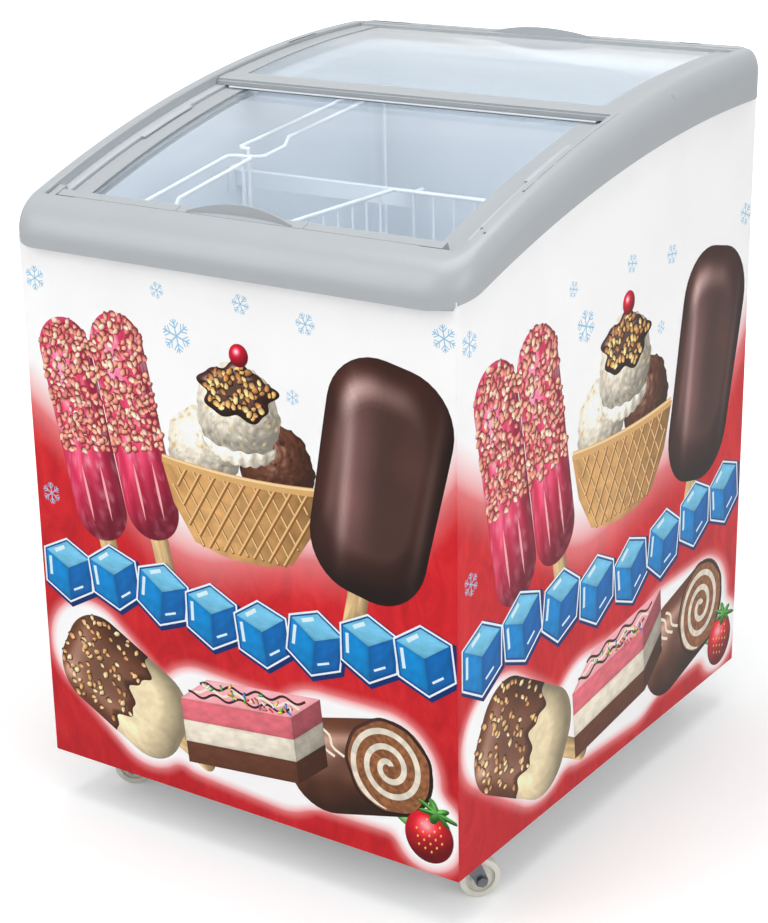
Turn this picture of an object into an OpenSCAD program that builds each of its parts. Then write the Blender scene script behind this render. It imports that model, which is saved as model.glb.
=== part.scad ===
// Bunker ice-cream freezer: foamed cabinet on casters, curved lid frame, two curved glass lids that slide
// on two arc tracks about one far centre, wire basket and dividers, and a cooling plant behind a rear grille.
// Millimetres, +Z up, front of the cabinet to -Y, origin on the floor at the centre of the lid frame.

/* [Cabinet] */
// outside width of the painted cabinet
cab_w = 610; // [500:5:1000]
// outside depth of the painted cabinet
cab_d = 712; // [600:5:900]
// floor to the underside of the cabinet
cab_z = 66; // [62:1:90]
// thickness of the shell sheet
sheet = 1.2; // [0.8:0.1:2]
// foam wall between shell and tank
foam_wall = 58; // [40:1:80]
// foam floor below the tank
foam_floor = 58; // [40:1:80]
// tank sheet thickness
liner_t = 1.5; // [1:0.1:3]
// height of the machine compartment above the cabinet underside
mc_h = 252; // [220:2:300]
// depth of the machine compartment
mc_d = 234; // [200:2:260]
// foam over and before the machine compartment
mc_foam = 50; // [30:1:70]
// depth of the front ledge the basket hangs on
front_ledge = 12; // [8:1:20]
// thickness of the printed film
film_t = 0.3; // [0.2:0.1:0.6]

/* [Curved frame] */
// radius of the crown of the lid frame
arc_r = 1850; // [1200:10:3000]
// distance of the arc centre behind the middle of the frame
arc_cy = 340; // [200:5:400]
// height of the highest point of the crown
top_z = 910; // [800:5:1000]
// overhang of the frame at the sides
over_side = 12; // [6:1:25]
// overhang of the frame at the front
over_front = 14; // [6:1:30]
// overhang of the frame at the rear
over_rear = 12; // [6:1:25]
// plan corner radius of the frame
corner_r = 46; // [20:1:60]
// inner corner radius of the frame
inner_r = 3; // [2.8:0.1:8]
// width of the side rails
rail_w = 28; // [20:1:40]
// depth of the front bar
bar_d = 44; // [30:1:70]
// depth of the rear bar
rear_d = 24; // [18:1:40]
// skirt drop below the arc at the front
skirt_f = 38; // [34:1:60]
// skirt drop below the arc at mid depth
skirt_m = 55; // [34:1:70]
// skirt drop below the arc at the rear
skirt_r = 60; // [34:1:75]
// drop from the crown to the seat on the cabinet
seat_drop = 32; // [28:1:40]
// drop from the crown to the upper track
up_drop = 12; // [8:1:16]
// width of the upper track
up_w = 14; // [8:1:20]
// drop from the crown to the lower track
low_drop = 23.3; // [20:0.1:30]
// width of the lower track
low_w = 18; // [10:1:25]
// reach of the keeper tabs over the front lid
tab_w = 5; // [3:0.5:8]
// thickness of the keeper tabs
tab_t = 1.9; // [1:0.1:2.5]

/* [Lids] */
// glass thickness
glass_t = 4; // [3:0.5:6]
// width of the side beads
bead_w = 27; // [18:1:35]
// depth of the front bar of the front lid
lid_bar = 12; // [10:1:20]
// position of the front edge of the rear lid
cross_y = 4; // [-20:1:40]
// depth of the cross bar of the rear lid
cross_d = 28; // [16:1:40]
// overlap of the lids behind the cross bar front
lap = 22; // [14:1:30]
// side play of the lids in the tracks
lid_play = 1.5; // [0.5:0.1:3]
// running gap under the lids
run_gap = 0.3; // [0.2:0.05:0.5]
// width of the handle insert
grip_w = 178; // [120:2:240]
// width of the grip fin
fin_w = 148; // [80:2:200]
// height of the grip fin
fin_h = 13; // [8:0.5:20]
// height of the grip fin of the rear lid
rear_fin_h = 9; // [6:0.5:16]
// thickness of the grip fin
fin_t = 2.6; // [2:0.2:5]
// bow of the grip fin in plan
fin_bow = 6.5; // [3:0.5:9]

/* [Casters] */
// wheel diameter
wheel_d = 50; // [40:1:52]
// wheel tread width
wheel_w = 20; // [16:1:26]
// axle bolt diameter
axle_d = 8; // [6:1:10]
// swivel offset to the axle
trail = 20; // [12:1:28]
// front swivel axes in from the sides of the cabinet
caster_in = 41; // [34:1:120]
// rear swivel axes in from the sides of the cabinet
rear_caster_in = 73; // [34:1:120]
// swivel axes in from the front and rear of the cabinet
caster_deep = 71; // [48:1:140]
// rest angle of the front right caster
turn_fr = -42; // [-90:1:90]
// rest angle of the front left caster
turn_fl = -60; // [-90:1:90]
// caster mounting plate, square
plate_w = 60; // [50:1:80]
// spacing of the plate holes
plate_hole = 44; // [34:1:60]
// plate hole diameter
plate_hole_d = 6.4; // [5:0.1:9]
// radial clearance of the running fits
run_fit = 0.05; // [0.02:0.01:0.1]

/* [Wire goods] */
// rim wire diameter
rim_wire = 5; // [4:0.5:7]
// mesh wire diameter
mesh_wire = 3; // [2:0.5:4]
// basket width
bask_w = 232; // [160:2:300]
// basket depth of plan
bask_d = 262; // [180:2:300]
// basket height
bask_h = 190; // [100:5:300]
// basket mesh pitch
mesh_pitch = 29; // [20:1:40]
// width of the hairpin tops of the dividers
pin_w = 36; // [20:1:50]
// middle of the dividers in from the left wall of the tank
div_in = 65; // [40:1:120]
// where the front divider gives way to the rear one
div_split = -74; // [-120:1:0]

/* [Cooling] */
// compressor shell radius
comp_r = 60; // [50:1:65]
// compressor shell height without domes
comp_h = 96; // [70:1:120]
// compressor axis in from the left side of the cabinet
comp_in = 117; // [105:1:160]
// condenser face in from the right side of the cabinet
cond_in = 235; // [180:1:260]
// thermostat axis and gland in from the sides of the cabinet
knob_in = 83; // [60:1:110]
// fan blade sweep radius
fan_r = 66; // [50:1:75]
// fan shaft diameter
shaft_d = 6; // [4:0.5:8]
// evaporator tube radius
evap_r = 4; // [3:0.25:5]
// corner radius of the evaporator loops
evap_turn = 18; // [12:1:30]
// thermostat knob diameter
knob_d = 34; // [24:1:44]
// thermostat shaft diameter
knob_shaft = 6; // [4:0.5:8]
// drain bore diameter
drain_d = 18; // [12:1:24]
// length of the drain spigot below the cabinet
spigot = 20; // [15:1:30]
// gland bore for the supply cord
cord_bore = 8; // [6:0.5:10]

/* [Hidden] */
$fn = 64;
fine = 720;
// swell of the bends of welded wire and bent tube
bead_up = 0.12;
arc_cz = top_z - arc_r;
frame_w = cab_w + 2 * over_side;
frame_d = cab_d + over_front + over_rear;
yf = -frame_d / 2;
yr = frame_d / 2;
cxo = cab_w / 2;
cyf = yf + over_front;
cyr = yr - over_rear;
xw = frame_w / 2 - rail_w;
ywf = yf + bar_d;
ywr = yr - rear_d;
r_seat = arc_r - seat_drop;
r_up = arc_r - up_drop;
r_low = arc_r - low_drop;
x_up = xw - up_w;
x_low = x_up - low_w;
tx = cxo - foam_wall;
tyf = cyf + foam_wall;
tyr = cyr - foam_wall;
tz = cab_z + foam_floor + 2;
mcy = cyr - mc_d;
mcz = cab_z + mc_h;
step_y = mcy - mc_foam;
step_z = mcz + mc_foam;
open_yf = tyf - front_ledge;
open_yr = tyr + 8;
pan_t = 2;
pan_z = cab_z + sheet;
floor_z = pan_z + pan_t;
panel_y = cyr - sheet;
caster_x = cxo - caster_in;
rear_caster_x = cxo - rear_caster_in;
caster_yf = -cyf - caster_deep;
caster_yr = cyr - caster_deep;
div_x = tx - div_in;
drain_hole = drain_d / 2 + 3.2;
// play between the foam slabs
slab_gap = 0.2;
// lid stack, measured as radii from the arc centre
lo0 = r_low + run_gap;
lo1 = lo0 + 7.7;
up0 = r_up + run_gap;
up1 = up0 + 6.7;
glo = lo0 + 2;
gup = up0 + 1.3;
cross0 = r_up - 1.4;
cross1 = arc_r - 4;
glass_yf = ywf + lid_bar;
lid_rear_y = cross_y + lap;
rear_end_y = ywr - 1.2;
fx = x_up - lid_play;
rx = xw - 1;
white = [0.9, 0.91, 0.92];
frame_c = [0.8, 0.83, 0.85];
steel = [0.75, 0.76, 0.78];
dark = [0.2, 0.2, 0.22];
copper = [0.75, 0.48, 0.33];
wire_c = [0.95, 0.96, 0.96];

// height of the arc of radius r at depth y
function arc_z(y, r) = arc_cz + sqrt(r * r - (y - arc_cy) * (y - arc_cy));
// crown depth of the radial plane that cuts radius r at depth y
function crown(y, r) = arc_cy + (y - arc_cy) * arc_r / r;
// angle of depth y on radius r, from the vertical, rearward positive
function phi(y, r) = asin((y - arc_cy) / r);
function lerp(a, b, t) = a + (b - a) * t;

// sweeps a profile [radius, X] about the arc axis between two depths measured at radius r
module sweep(y0, y1, r) {
    translate([0, arc_cy, arc_cz])
        rotate([90, 0, 90])
            rotate([0, 0, 90 - phi(y1, r)])
                rotate_extrude(angle = phi(y1, r) - phi(y0, r), $fn = fine)
                    children();
}

// arc strip from radius r0 to r1 and from X x0 to x1; its ends lie in the radial planes that cut the crown
// at depths y0 and y1
module strip(y0, y1, r0, r1, x0, x1) {
    sweep(y0, y1, arc_r)
        translate([r0, x0])
            square([r1 - r0, x1 - x0]);
}

// everything under the arc of radius r
module under(r) {
    translate([-frame_w, arc_cy, arc_cz])
        rotate([0, 90, 0])
            cylinder(h = 2 * frame_w, r = r, $fn = fine);
}

module block(x0, x1, y0, y1, z0, z1) {
    translate([x0, y0, z0])
        cube([x1 - x0, y1 - y0, z1 - z0]);
}

// upright block with rounded vertical edges
module post(x0, x1, y0, y1, z0, z1, r) {
    block(x0 + r, x1 - r, y0, y1, z0, z1);
    block(x0, x1, y0 + r, y1 - r, z0, z1);
    for (x = [x0 + r, x1 - r], y = [y0 + r, y1 - r])
        translate([x, y, z0])
            cylinder(h = z1 - z0, r = r);
}

// plain rod between two points
module rod(a, b, r) {
    d = b - a;
    translate(a)
        rotate([0, acos(d[2] / norm(d)), atan2(d[1], d[0])])
            cylinder(h = norm(d), r = r, $fn = 24);
}

// straight tube pieces with ball elbows through a list of points
module run(pts, r) {
    for (i = [0 : len(pts) - 2])
        let (a = pts[i], b = pts[i + 1], d = b - a, l = norm(d))
            translate(a)
                rotate([0, acos(d[2] / l), atan2(d[1], d[0])])
                    cylinder(h = l, r = r, $fn = 24);
    for (p = pts)
        translate(p)
            sphere(r = r + bead_up, $fn = 24);
}

/* Cabinet */

module cavity(g) {
    post(-tx - g, tx + g, tyf - g, tyr + g, step_z - g, top_z, 14 + g);
    post(-tx - g, tx + g, tyf - g, step_y + g, tz - g, step_z + 20, 14 + g);
}

module outer_shell() {
    color(white)
        difference() {
            intersection() {
                block(-cxo, cxo, cyf, cyr, cab_z, top_z);
                under(r_seat - 0.1);
            }
            block(-cxo + sheet, cxo - sheet, cyf + sheet, panel_y, pan_z, top_z);
            block(-cxo + 16, cxo - 16, cyr - 30, cyr + 1, pan_z, top_z);
            block(-cxo + 10, cxo - 10, cyf + 20, cyr - 16, cab_z - 1, top_z);
        }
}

module rear_panel() {
    color(white)
        intersection() {
            block(-cxo + sheet, cxo - sheet, panel_y - 1, panel_y, mcz - 8, top_z);
            under(r_seat - 0.1);
        }
}

module rear_grille() {
    gz0 = pan_z + 8;
    gz1 = mcz + 6;
    color(white)
        difference() {
            block(-cxo + 8, cxo - 8, cyr, cyr + 1.2, gz0, gz1);
            for (i = [0 : 8], s = [-1, 1])
                translate([s * 96, cyr, gz0 + 40 + i * 19])
                    rotate([-90, 0, 0]) {
                        translate([-64, -3.5, -1])
                            cube([128, 7, 4]);
                        for (e = [-64, 64])
                            translate([e, 0, -1])
                                cylinder(h = 4, r = 3.5);
                    }
            translate([knob_x, cyr - 1, knob_z])
                rotate([-90, 0, 0])
                    cylinder(h = 4, r = 7);
            translate([-knob_x, cyr - 1, cord_z])
                rotate([-90, 0, 0])
                    cylinder(h = 4, r = 9);
            for (x = [-cxo + 12, cxo - 12], z = [gz0 + 12, gz1 - 12])
                translate([x, cyr - 1, z])
                    rotate([-90, 0, 0])
                        cylinder(h = 4, r = 2);
        }
}

// room for the evaporator loops and their risers in the foam
module foam_grooves() {
    g = evap_r * 2 + 0.5 + liner_t;
    for (i = [0 : evap_n - 1])
        let (z = evap_z + i * evap_pitch)
            post(-tx - g, tx + g, tyf - g, tyr + g, z - evap_r - 0.3, z + evap_r + 0.3, evap_turn + evap_r);
    block(-20 - evap_r - 0.3, evap_out_x + evap_r + 0.3, tyr, evap_y + evap_back + evap_r + 0.3, mcz - 1,
        evap_z + (evap_n - 1) * evap_pitch + evap_r + 0.4);
}

// one foam slab, cut by the lid seat, the evaporator grooves and the drain
module slab(x0, x1, y0, y1, z0, z1) {
    difference() {
        intersection() {
            block(x0, x1, y0, y1, z0, z1);
            under(r_seat - liner_t - 0.4);
        }
        foam_grooves();
        translate([0, drain_y, floor_z - 1])
            cylinder(h = 80, r = drain_hole);
    }
}

// foam in slabs that meet with a hair of play, so that each one is close to convex
module insulation() {
    x2 = cxo - sheet;
    x1 = tx + liner_t;
    y0 = cyf + sheet;
    y1 = tyf - liner_t;
    ys = step_y + liner_t;
    ym = mcy - 1;
    y2 = tyr + liner_t;
    y3 = panel_y - 1;
    zm = mcz + 1;
    color([0.93, 0.88, 0.7]) {
        slab(-x2, x2, y0, y1, floor_z, top_z);
        slab(-x2, x2, y2, y3, zm, top_z);
        for (s = [-1, 1]) {
            slab(min(s * x1, s * x2), max(s * x1, s * x2), y1 + slab_gap, ym, floor_z, top_z);
            slab(min(s * x1, s * x2), max(s * x1, s * x2), ym + slab_gap, y2 - slab_gap, zm, top_z);
        }
        slab(-x1 + slab_gap, x1 - slab_gap, y1 + slab_gap, ys - slab_gap, floor_z, tz - liner_t);
        slab(-x1 + slab_gap, x1 - slab_gap, ys, ym, floor_z, step_z - liner_t);
        slab(-x1 + slab_gap, x1 - slab_gap, ym + slab_gap, y2 - slab_gap, zm, step_z - liner_t);
    }
}

module liner() {
    color(white)
        difference() {
            union() {
                intersection() {
                    cavity(liner_t);
                    under(r_seat - 0.1);
                }
                intersection() {
                    strip(ywf, ywr, r_seat - liner_t - 0.1, r_seat - 0.1, -xw, xw);
                    block(-cxo + sheet, cxo - sheet, cyf + sheet, panel_y - 1, tz, top_z);
                }
            }
            cavity(0);
            translate([0, drain_y, tz - 5])
                cylinder(h = 10, r = drain_hole);
        }
}

module machine_bulkhead() {
    color(steel)
        difference() {
            union() {
                block(-cxo + sheet, cxo - sheet, mcy - 1, mcy, floor_z, mcz + 1);
                block(-cxo + sheet, cxo - sheet, mcy - 1, panel_y - 1, mcz, mcz + 1);
            }
            for (p = [[evap_in_x, evap_y], [evap_out_x, evap_y + evap_back]])
                translate([p[0], p[1], mcz - 1])
                    cylinder(h = 4, r = evap_r + 0.2);
        }
}

module base_pan() {
    color(steel)
        difference() {
            block(-cxo + sheet, cxo - sheet, cyf + sheet, panel_y, pan_z, floor_z);
            for (s = spots, hx = [-1, 1], hy = [-1, 1])
                translate([s[0] + hx * plate_hole / 2, s[1] + hy * plate_hole / 2, pan_z - 1])
                    cylinder(h = 5, r = plate_hole_d / 2);
            translate([0, drain_y, pan_z - 1])
                cylinder(h = 5, r = drain_hole);
            for (i = [-2 : 2])
                post(-90 + i * 30, -78 + i * 30, mcy + 60, cyr - 60, pan_z - 1, floor_z + 1, 4);
        }
}

module film(x0, x1, y0, y1) {
    intersection() {
        block(x0, x1, y0, y1, cab_z, top_z);
        under(r_seat - 6);
    }
}

module graphic_front() {
    color([0.85, 0.2, 0.22])
        film(-cxo, cxo, cyf - film_t, cyf);
}

module graphic_right() {
    color([0.85, 0.2, 0.22])
        film(cxo, cxo + film_t, cyf - film_t, cyr);
}

module graphic_left() {
    color([0.85, 0.2, 0.22])
        film(-cxo - film_t, -cxo, cyf - film_t, cyr);
}

/* Lid frame: a ring lofted round a rounded rectangle, its section bent with the arc */

side_n = 26;
turn_n = 7;
round_n = 5;
film_gap = film_t + 0.3;

// skirt drop at depth y
function skirt(y) =
    let (t = (y - yf) / frame_d)
    skirt_f * (1 - t) * (1 - 2 * t) + skirt_m * 4 * t * (1 - t) + skirt_r * t * (2 * t - 1);

// one station of a rounded rectangle: x half width w, front a, rear b, corner radius r, parameter s
function round_rect(w, a, b, r, s) =
    let (leg = floor(s), t = s - leg)
    leg == 0 ? [w, lerp(a + r, b - r, t)]
    : leg == 1 ? [w - r + r * cos(90 * t), b - r + r * sin(90 * t)]
    : leg == 2 ? [lerp(w - r, r - w, t), b]
    : leg == 3 ? [r - w - r * sin(90 * t), b - r + r * cos(90 * t)]
    : leg == 4 ? [-w, lerp(b - r, a + r, t)]
    : leg == 5 ? [r - w - r * cos(90 * t), a + r - r * sin(90 * t)]
    : leg == 6 ? [lerp(r - w, w - r, t), a]
    : [w - r + r * sin(90 * t), a + r - r * cos(90 * t)];

stations = concat(
    [for (i = [0 : side_n - 1]) i / side_n],
    [for (i = [0 : turn_n - 1]) 1 + i / turn_n],
    [2],
    [for (i = [0 : turn_n - 1]) 3 + i / turn_n],
    [for (i = [0 : side_n - 1]) 4 + i / side_n],
    [for (i = [0 : turn_n - 1]) 5 + i / turn_n],
    [6],
    [for (i = [0 : turn_n - 1]) 7 + i / turn_n]);

// weight of the front, 0 at the sides and 1 on the front bar
function front_w(s) = s <= 5 ? 0 : s < 6 ? s - 5 : s <= 7 ? 1 : 8 - s;
function rear_w(s) = s <= 1 ? 0 : s < 2 ? s - 1 : s <= 3 ? 1 : s < 4 ? 4 - s : 0;

function section(s) =
    let (
        o = round_rect(frame_w / 2, yf, yr, corner_r, s),
        q = round_rect(xw, ywf, ywr, inner_r, s),
        c = round_rect(cxo + film_gap, cyf - film_gap, cyr + 1.6, 5, s),
        w = norm(q - o),
        rd = 19 + 10 * front_w(s) - 4 * rear_w(s),
        rz = 28 + 2 * front_w(s) - 4 * rear_w(s),
        bottom = arc_z(o[1], arc_r) - skirt(o[1]))
    concat(
        [[o[0], o[1], bottom]],
        [for (j = [0 : round_n])
            let (t = 90 * j / round_n, d = rd * (1 - cos(t)), p = lerp(o, q, d / w))
            [p[0], p[1], arc_z(p[1], arc_r) - rz * (1 - sin(t))]],
        [let (p = lerp(o, q, (rd / w + 1) / 2)) [p[0], p[1], arc_z(p[1], arc_r)]],
        [let (p = lerp(o, q, 1 - 1.5 / w)) [p[0], p[1], arc_z(p[1], arc_r)]],
        [[q[0], q[1], arc_z(q[1], arc_r) - 1.5]],
        [[q[0], q[1], arc_z(q[1], arc_r) - seat_drop]],
        [[c[0], c[1], arc_z(c[1], arc_r) - seat_drop]],
        [[c[0], c[1], bottom]]);

module top_frame() {
    rings = [for (s = stations) section(s)];
    n = len(stations);
    m = len(rings[0]);
    pts = [for (r = rings) for (p = r) p];
    color(frame_c)
        polyhedron(pts, [for (i = [0 : n - 1], j = [0 : m - 1])
            let (a = i * m + j, b = i * m + (j + 1) % m, k = ((i + 1) % n) * m,
                c = k + (j + 1) % m, d = k + j)
            each [[a, b, c], [a, c, d]]]);
}

// inner frame with the two tracks and the throat
module track_frame() {
    color(frame_c)
        difference() {
            intersection() {
                strip(yf, yr, r_seat, r_up, -xw - 5, xw + 5);
                post(-xw, xw, ywf, ywr, arc_z(ywf, r_seat) - 20, top_z + 5, inner_r + 0.6);
            }
            difference() {
                strip(yf - 20, yr + 20, r_low, arc_r, -x_up, x_up);
                for (s = [-1, 1])
                    strip(-165, -70, r_up - tab_t, arc_r, s * x_up - tab_w, s * x_up + tab_w);
            }
            strip(crown(open_yf, r_seat), open_yr, r_seat - 20, arc_r, -x_low, x_low);
        }
}

module end_stops() {
    color(frame_c)
        for (s = [-1, 1])
            strip(ywf + 3, ywf + 26, r_up, arc_r - 5, min(s * (x_up + 2), s * (xw - 1)),
                max(s * (x_up + 2), s * (xw - 1)));
}

/* Lids */

module front_glass() {
    color([0.7, 0.82, 0.86, 0.5])
        strip(glass_yf - 4, lid_rear_y - 4, glo, glo + glass_t, -fx + 8, fx - 8);
}

// U section bead on a glass edge, from X x0 to x1, mirrored for the left side
module bead(y0, y1, r0, r1, x0, x1, s, g) {
    difference() {
        strip(y0, y1, r0, r1, min(s * x0, s * x1), max(s * x0, s * x1));
        strip(y0 - 5, y1 + 5, g, g + glass_t, min(s * (x0 - 1), s * (x1 - 8)),
            max(s * (x0 - 1), s * (x1 - 8)));
    }
}

module front_bead_left() {
    color(frame_c)
        bead(glass_yf, lid_rear_y - 12, lo0, lo1, fx - bead_w, fx, -1, glo);
}

module front_bead_right() {
    color(frame_c)
        bead(glass_yf, lid_rear_y - 12, lo0, lo1, fx - bead_w, fx, 1, glo);
}

module front_bar() {
    color(frame_c)
        difference() {
            union() {
                strip(ywf + 0.7, glass_yf, lo0, r_up - tab_t - 0.6, -fx, fx);
                strip(ywf + 0.7, glass_yf, lo1 - 1, arc_r - 0.6, -x_up + tab_w + 2, x_up - tab_w - 2);
            }
            strip(glass_yf - 4, glass_yf + 5, glo, glo + glass_t, -fx + 8, fx - 8);
            strip(ywf - 5, glass_yf + 5, arc_r - 10, arc_r + 10, -grip_w / 2, grip_w / 2);
        }
}

// fin of the grip: a bowed blade with a crowned top, base at radius arc_r
module fin(y, s, h) {
    rb = (fin_w * fin_w / 4 + fin_bow * fin_bow) / (2 * fin_bow);
    rt = (fin_w * fin_w / 4 + h * h) / (2 * h);
    z0 = arc_z(y, arc_r);
    intersection() {
        difference() {
            translate([0, y + s * (fin_bow - rb), z0 - 7])
                cylinder(h = 60, r = rb, $fn = 360);
            translate([0, y + s * (fin_bow - rb), z0 - 8])
                cylinder(h = 62, r = rb - fin_t, $fn = 360);
        }
        translate([0, y - 60, z0 + h - rt])
            rotate([-90, 0, 0])
                cylinder(h = 120, r = rt, $fn = 360);
        block(-fin_w / 2 + 1, fin_w / 2 - 1, y - 30, y + 30, z0 - 7, z0 + 60);
    }
}

module front_handle() {
    color(frame_c) {
        strip(ywf + 0.7, glass_yf, arc_r - 10, arc_r - 0.6, -grip_w / 2 + 0.1, grip_w / 2 - 0.1);
        fin(ywf + 0.8 + fin_t, 1, fin_h);
    }
}

module front_tail_bar() {
    color(frame_c)
        difference() {
            strip(lid_rear_y - 12, lid_rear_y, lo0, lo1, -fx, fx);
            strip(lid_rear_y - 17, lid_rear_y - 4, glo, glo + glass_t, -fx + 8, fx - 8);
        }
}

module rear_glass() {
    color([0.7, 0.82, 0.86, 0.5])
        strip(cross_y + 6, rear_end_y - 6, gup, gup + glass_t, -rx + 9, rx - 9);
}

module rear_bead_left() {
    color(frame_c)
        bead(cross_y + cross_d, rear_end_y - 13, up0, up1, rx - bead_w, rx, -1, gup);
}

module rear_bead_right() {
    color(frame_c)
        bead(cross_y + cross_d, rear_end_y - 13, up0, up1, rx - bead_w, rx, 1, gup);
}

module rear_cross_bar() {
    color(frame_c)
        difference() {
            union() {
                strip(cross_y, cross_y + cross_d, up0, cross1, -rx, rx);
                strip(cross_y, cross_y + cross_d, cross0, up0 + 1, -x_up + tab_w + 2, x_up - tab_w - 2);
            }
            strip(cross_y + 6, cross_y + cross_d + 5, gup, gup + glass_t, -rx + 9, rx - 9);
            strip(cross_y - 5, cross_y + 3, cross1 - 2.5, cross1 + 5, -rx - 1, rx + 1);
        }
}

module cross_bar_brush() {
    color(dark)
        strip(cross_y + 6, cross_y + 10, lo1 + 0.4, cross0, -x_up + tab_w + 4, x_up - tab_w - 4);
}

module rear_bar() {
    color(frame_c)
        difference() {
            strip(rear_end_y - 13, rear_end_y, up0, arc_r - 2, -rx, rx);
            strip(rear_end_y - 20, rear_end_y - 6, gup, gup + glass_t, -rx + 9, rx - 9);
            strip(rear_end_y - 20, rear_end_y + 5, arc_r - 6, arc_r + 5, -grip_w / 2, grip_w / 2);
        }
}

module rear_handle() {
    color(frame_c) {
        strip(rear_end_y - 13, rear_end_y - 0.2, arc_r - 6, arc_r - 2, -grip_w / 2 + 0.1, grip_w / 2 - 0.1);
        intersection() {
            fin(rear_end_y - 0.4 - fin_t, -1, rear_fin_h);
            block(-fin_w, fin_w, rear_end_y - 20, rear_end_y, arc_z(ywr, arc_r) - 5, top_z + 40);
        }
    }
}

/* Wire goods */

wire_top = top_z - 210;
bask_x1 = tx - 6;
bask_x0 = bask_x1 - bask_w;
bask_y0 = tyf + 6;
bask_y1 = bask_y0 + bask_d;
rail_y = bask_y1 + 14;
ledge_z = arc_z(tyf, r_seat - 0.1);
bask_z = ledge_z + rim_wire / 2 + 0.1;
bask_floor = bask_z - bask_h;
nx = round(bask_w / mesh_pitch);
ny = round(bask_d / mesh_pitch);
rail_z = bask_z - rim_wire / 2;

module basket_rim() {
    color(wire_c) {
        run([[bask_x0, bask_y0, bask_z], [bask_x1, bask_y0, bask_z], [bask_x1, bask_y1, bask_z],
            [bask_x0, bask_y1, bask_z], [bask_x0, bask_y0, bask_z]], rim_wire / 2);
        for (x = [bask_x0 + 30, bask_x1 - 30]) {
            run([[x, bask_y0, bask_z], [x, open_yf + 3, bask_z]], rim_wire / 2);
            run([[x, bask_y1, bask_z], [x, rail_y + 3, bask_z + 0.2]], rim_wire / 2);
        }
    }
}

// welded mat of the basket floor with its border wire
module basket_floor() {
    r = mesh_wire / 2;
    color(wire_c) {
        run([[bask_x0, bask_y0, bask_floor], [bask_x1, bask_y0, bask_floor], [bask_x1, bask_y1, bask_floor],
            [bask_x0, bask_y1, bask_floor], [bask_x0, bask_y0, bask_floor]], r);
        for (i = [1 : nx - 1])
            let (x = bask_x0 + bask_w * i / nx)
                rod([x, bask_y0, bask_floor], [x, bask_y1, bask_floor], r);
        for (i = [1 : ny - 1])
            let (y = bask_y0 + bask_d * i / ny)
                rod([bask_x0, y, bask_floor + 2 * r - 0.4], [bask_x1, y, bask_floor + 2 * r - 0.4], r);
    }
}

// side mats of the basket: uprights and one belt wire each, welded to the rim and the floor
module basket_ends() {
    r = mesh_wire / 2;
    belt = bask_z - bask_h * 0.45;
    color(wire_c)
        for (y = [bask_y0, bask_y1]) {
            for (i = [1 : nx - 1])
                let (x = bask_x0 + bask_w * i / nx)
                    rod([x, y, bask_floor], [x, y, bask_z], r);
            rod([bask_x0 + 3, y, belt], [bask_x1 - 3, y, belt], r - 0.1);
        }
}

module basket_sides() {
    r = mesh_wire / 2;
    belt = bask_z - bask_h * 0.45;
    color(wire_c)
        for (x = [bask_x0, bask_x1]) {
            for (i = [1 : ny - 1])
                let (y = bask_y0 + bask_d * i / ny)
                    rod([x, y, bask_floor], [x, y, bask_z], r);
            rod([x, bask_y0 + 3, belt], [x, bask_y1 - 3, belt], r - 0.1);
        }
}

module cross_rail() {
    color(wire_c) {
        block(-tx + 1.5, tx - 1.5, rail_y - 2, rail_y + 8, rail_z - 20, rail_z);
        for (s = [-1, 1])
            block(min(s * tx, s * (tx - 2)), max(s * tx, s * (tx - 2)), rail_y - 16, rail_y + 22,
                rail_z - 26, rail_z + 6);
    }
}

// divider with a sloping hairpin top; y0..y1, top heights z0..z1, floor heights f0..f1
module divider(y0, y1, z0, z1, f0, f1) {
    r = rim_wire / 2;
    m = mesh_wire / 2;
    xa = -div_x - pin_w / 2;
    xb = -div_x + pin_w / 2;
    color(wire_c) {
        run([[-div_x, y0, f0 + r + bead_up], [-div_x, y0, z0], [xa + 8, y0, z0], [xa, y0 + 8, z0],
            [xa, y1 - 8, z1], [xa + 8, y1, z1], [xb - 8, y1, z1], [xb, y1 - 8, z1],
            [xb, y0 + 60, lerp(z0, z1, 60 / (y1 - y0))],
            [xb, y0 + 52, lerp(z0, z1, 52 / (y1 - y0)) - 9], [xb, y0 + 8, z0 - 9], [xb - 8, y0, z0 - 9]], r);
        rod([-div_x, y0, z0 - 9], [xb - 8, y0, z0 - 9], r - 0.3);
        rod([-div_x, y1, f1 + 1], [-div_x, y1, z1], r - 0.3);
        for (k = [0 : 4])
            let (z = lerp(max(f0, f1) + 10, wire_top, 0.05 + k * 0.19))
                rod([-div_x, y0, z], [-div_x, y1, z], m);
    }
}

module divider_front() {
    y1 = div_split - 6;
    divider(tyf + 10, y1, arc_z(tyf, lo0) - 10, arc_z(y1, lo0) - 42, tz, tz);
}

module divider_rear() {
    divider(div_split + 6, tyr - 67, arc_z(div_split + 8, lo0) - 38, arc_z(tyr - 63, lo0) - 46, tz, step_z);
}

/* Casters */

spots = [[caster_x, -caster_yf, turn_fr], [-caster_x, -caster_yf, turn_fl],
    [rear_caster_x, caster_yr, 0], [-rear_caster_x, caster_yr, 0]];
head_z = cab_z + sheet - 2.5;

module at_caster(i) {
    translate([spots[i][0], spots[i][1], 0])
        rotate([0, 0, spots[i][2]])
            children();
}

module caster_plates() {
    color(steel)
        for (i = [0 : 3])
            translate([spots[i][0], spots[i][1], 0])
                difference() {
                    union() {
                        block(-plate_w / 2, plate_w / 2, -plate_w / 2, plate_w / 2, head_z, head_z + 2.5);
                        translate([0, 0, head_z - 3])
                            cylinder(h = 3.5, r = 17);
                        translate([0, 0, head_z - 6.4])
                            cylinder(h = 4, r = 6 - run_fit);
                    }
                    for (hx = [-1, 1], hy = [-1, 1])
                        translate([hx * plate_hole / 2, hy * plate_hole / 2, head_z - 1])
                            cylinder(h = 5, r = plate_hole_d / 2);
                }
}

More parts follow.
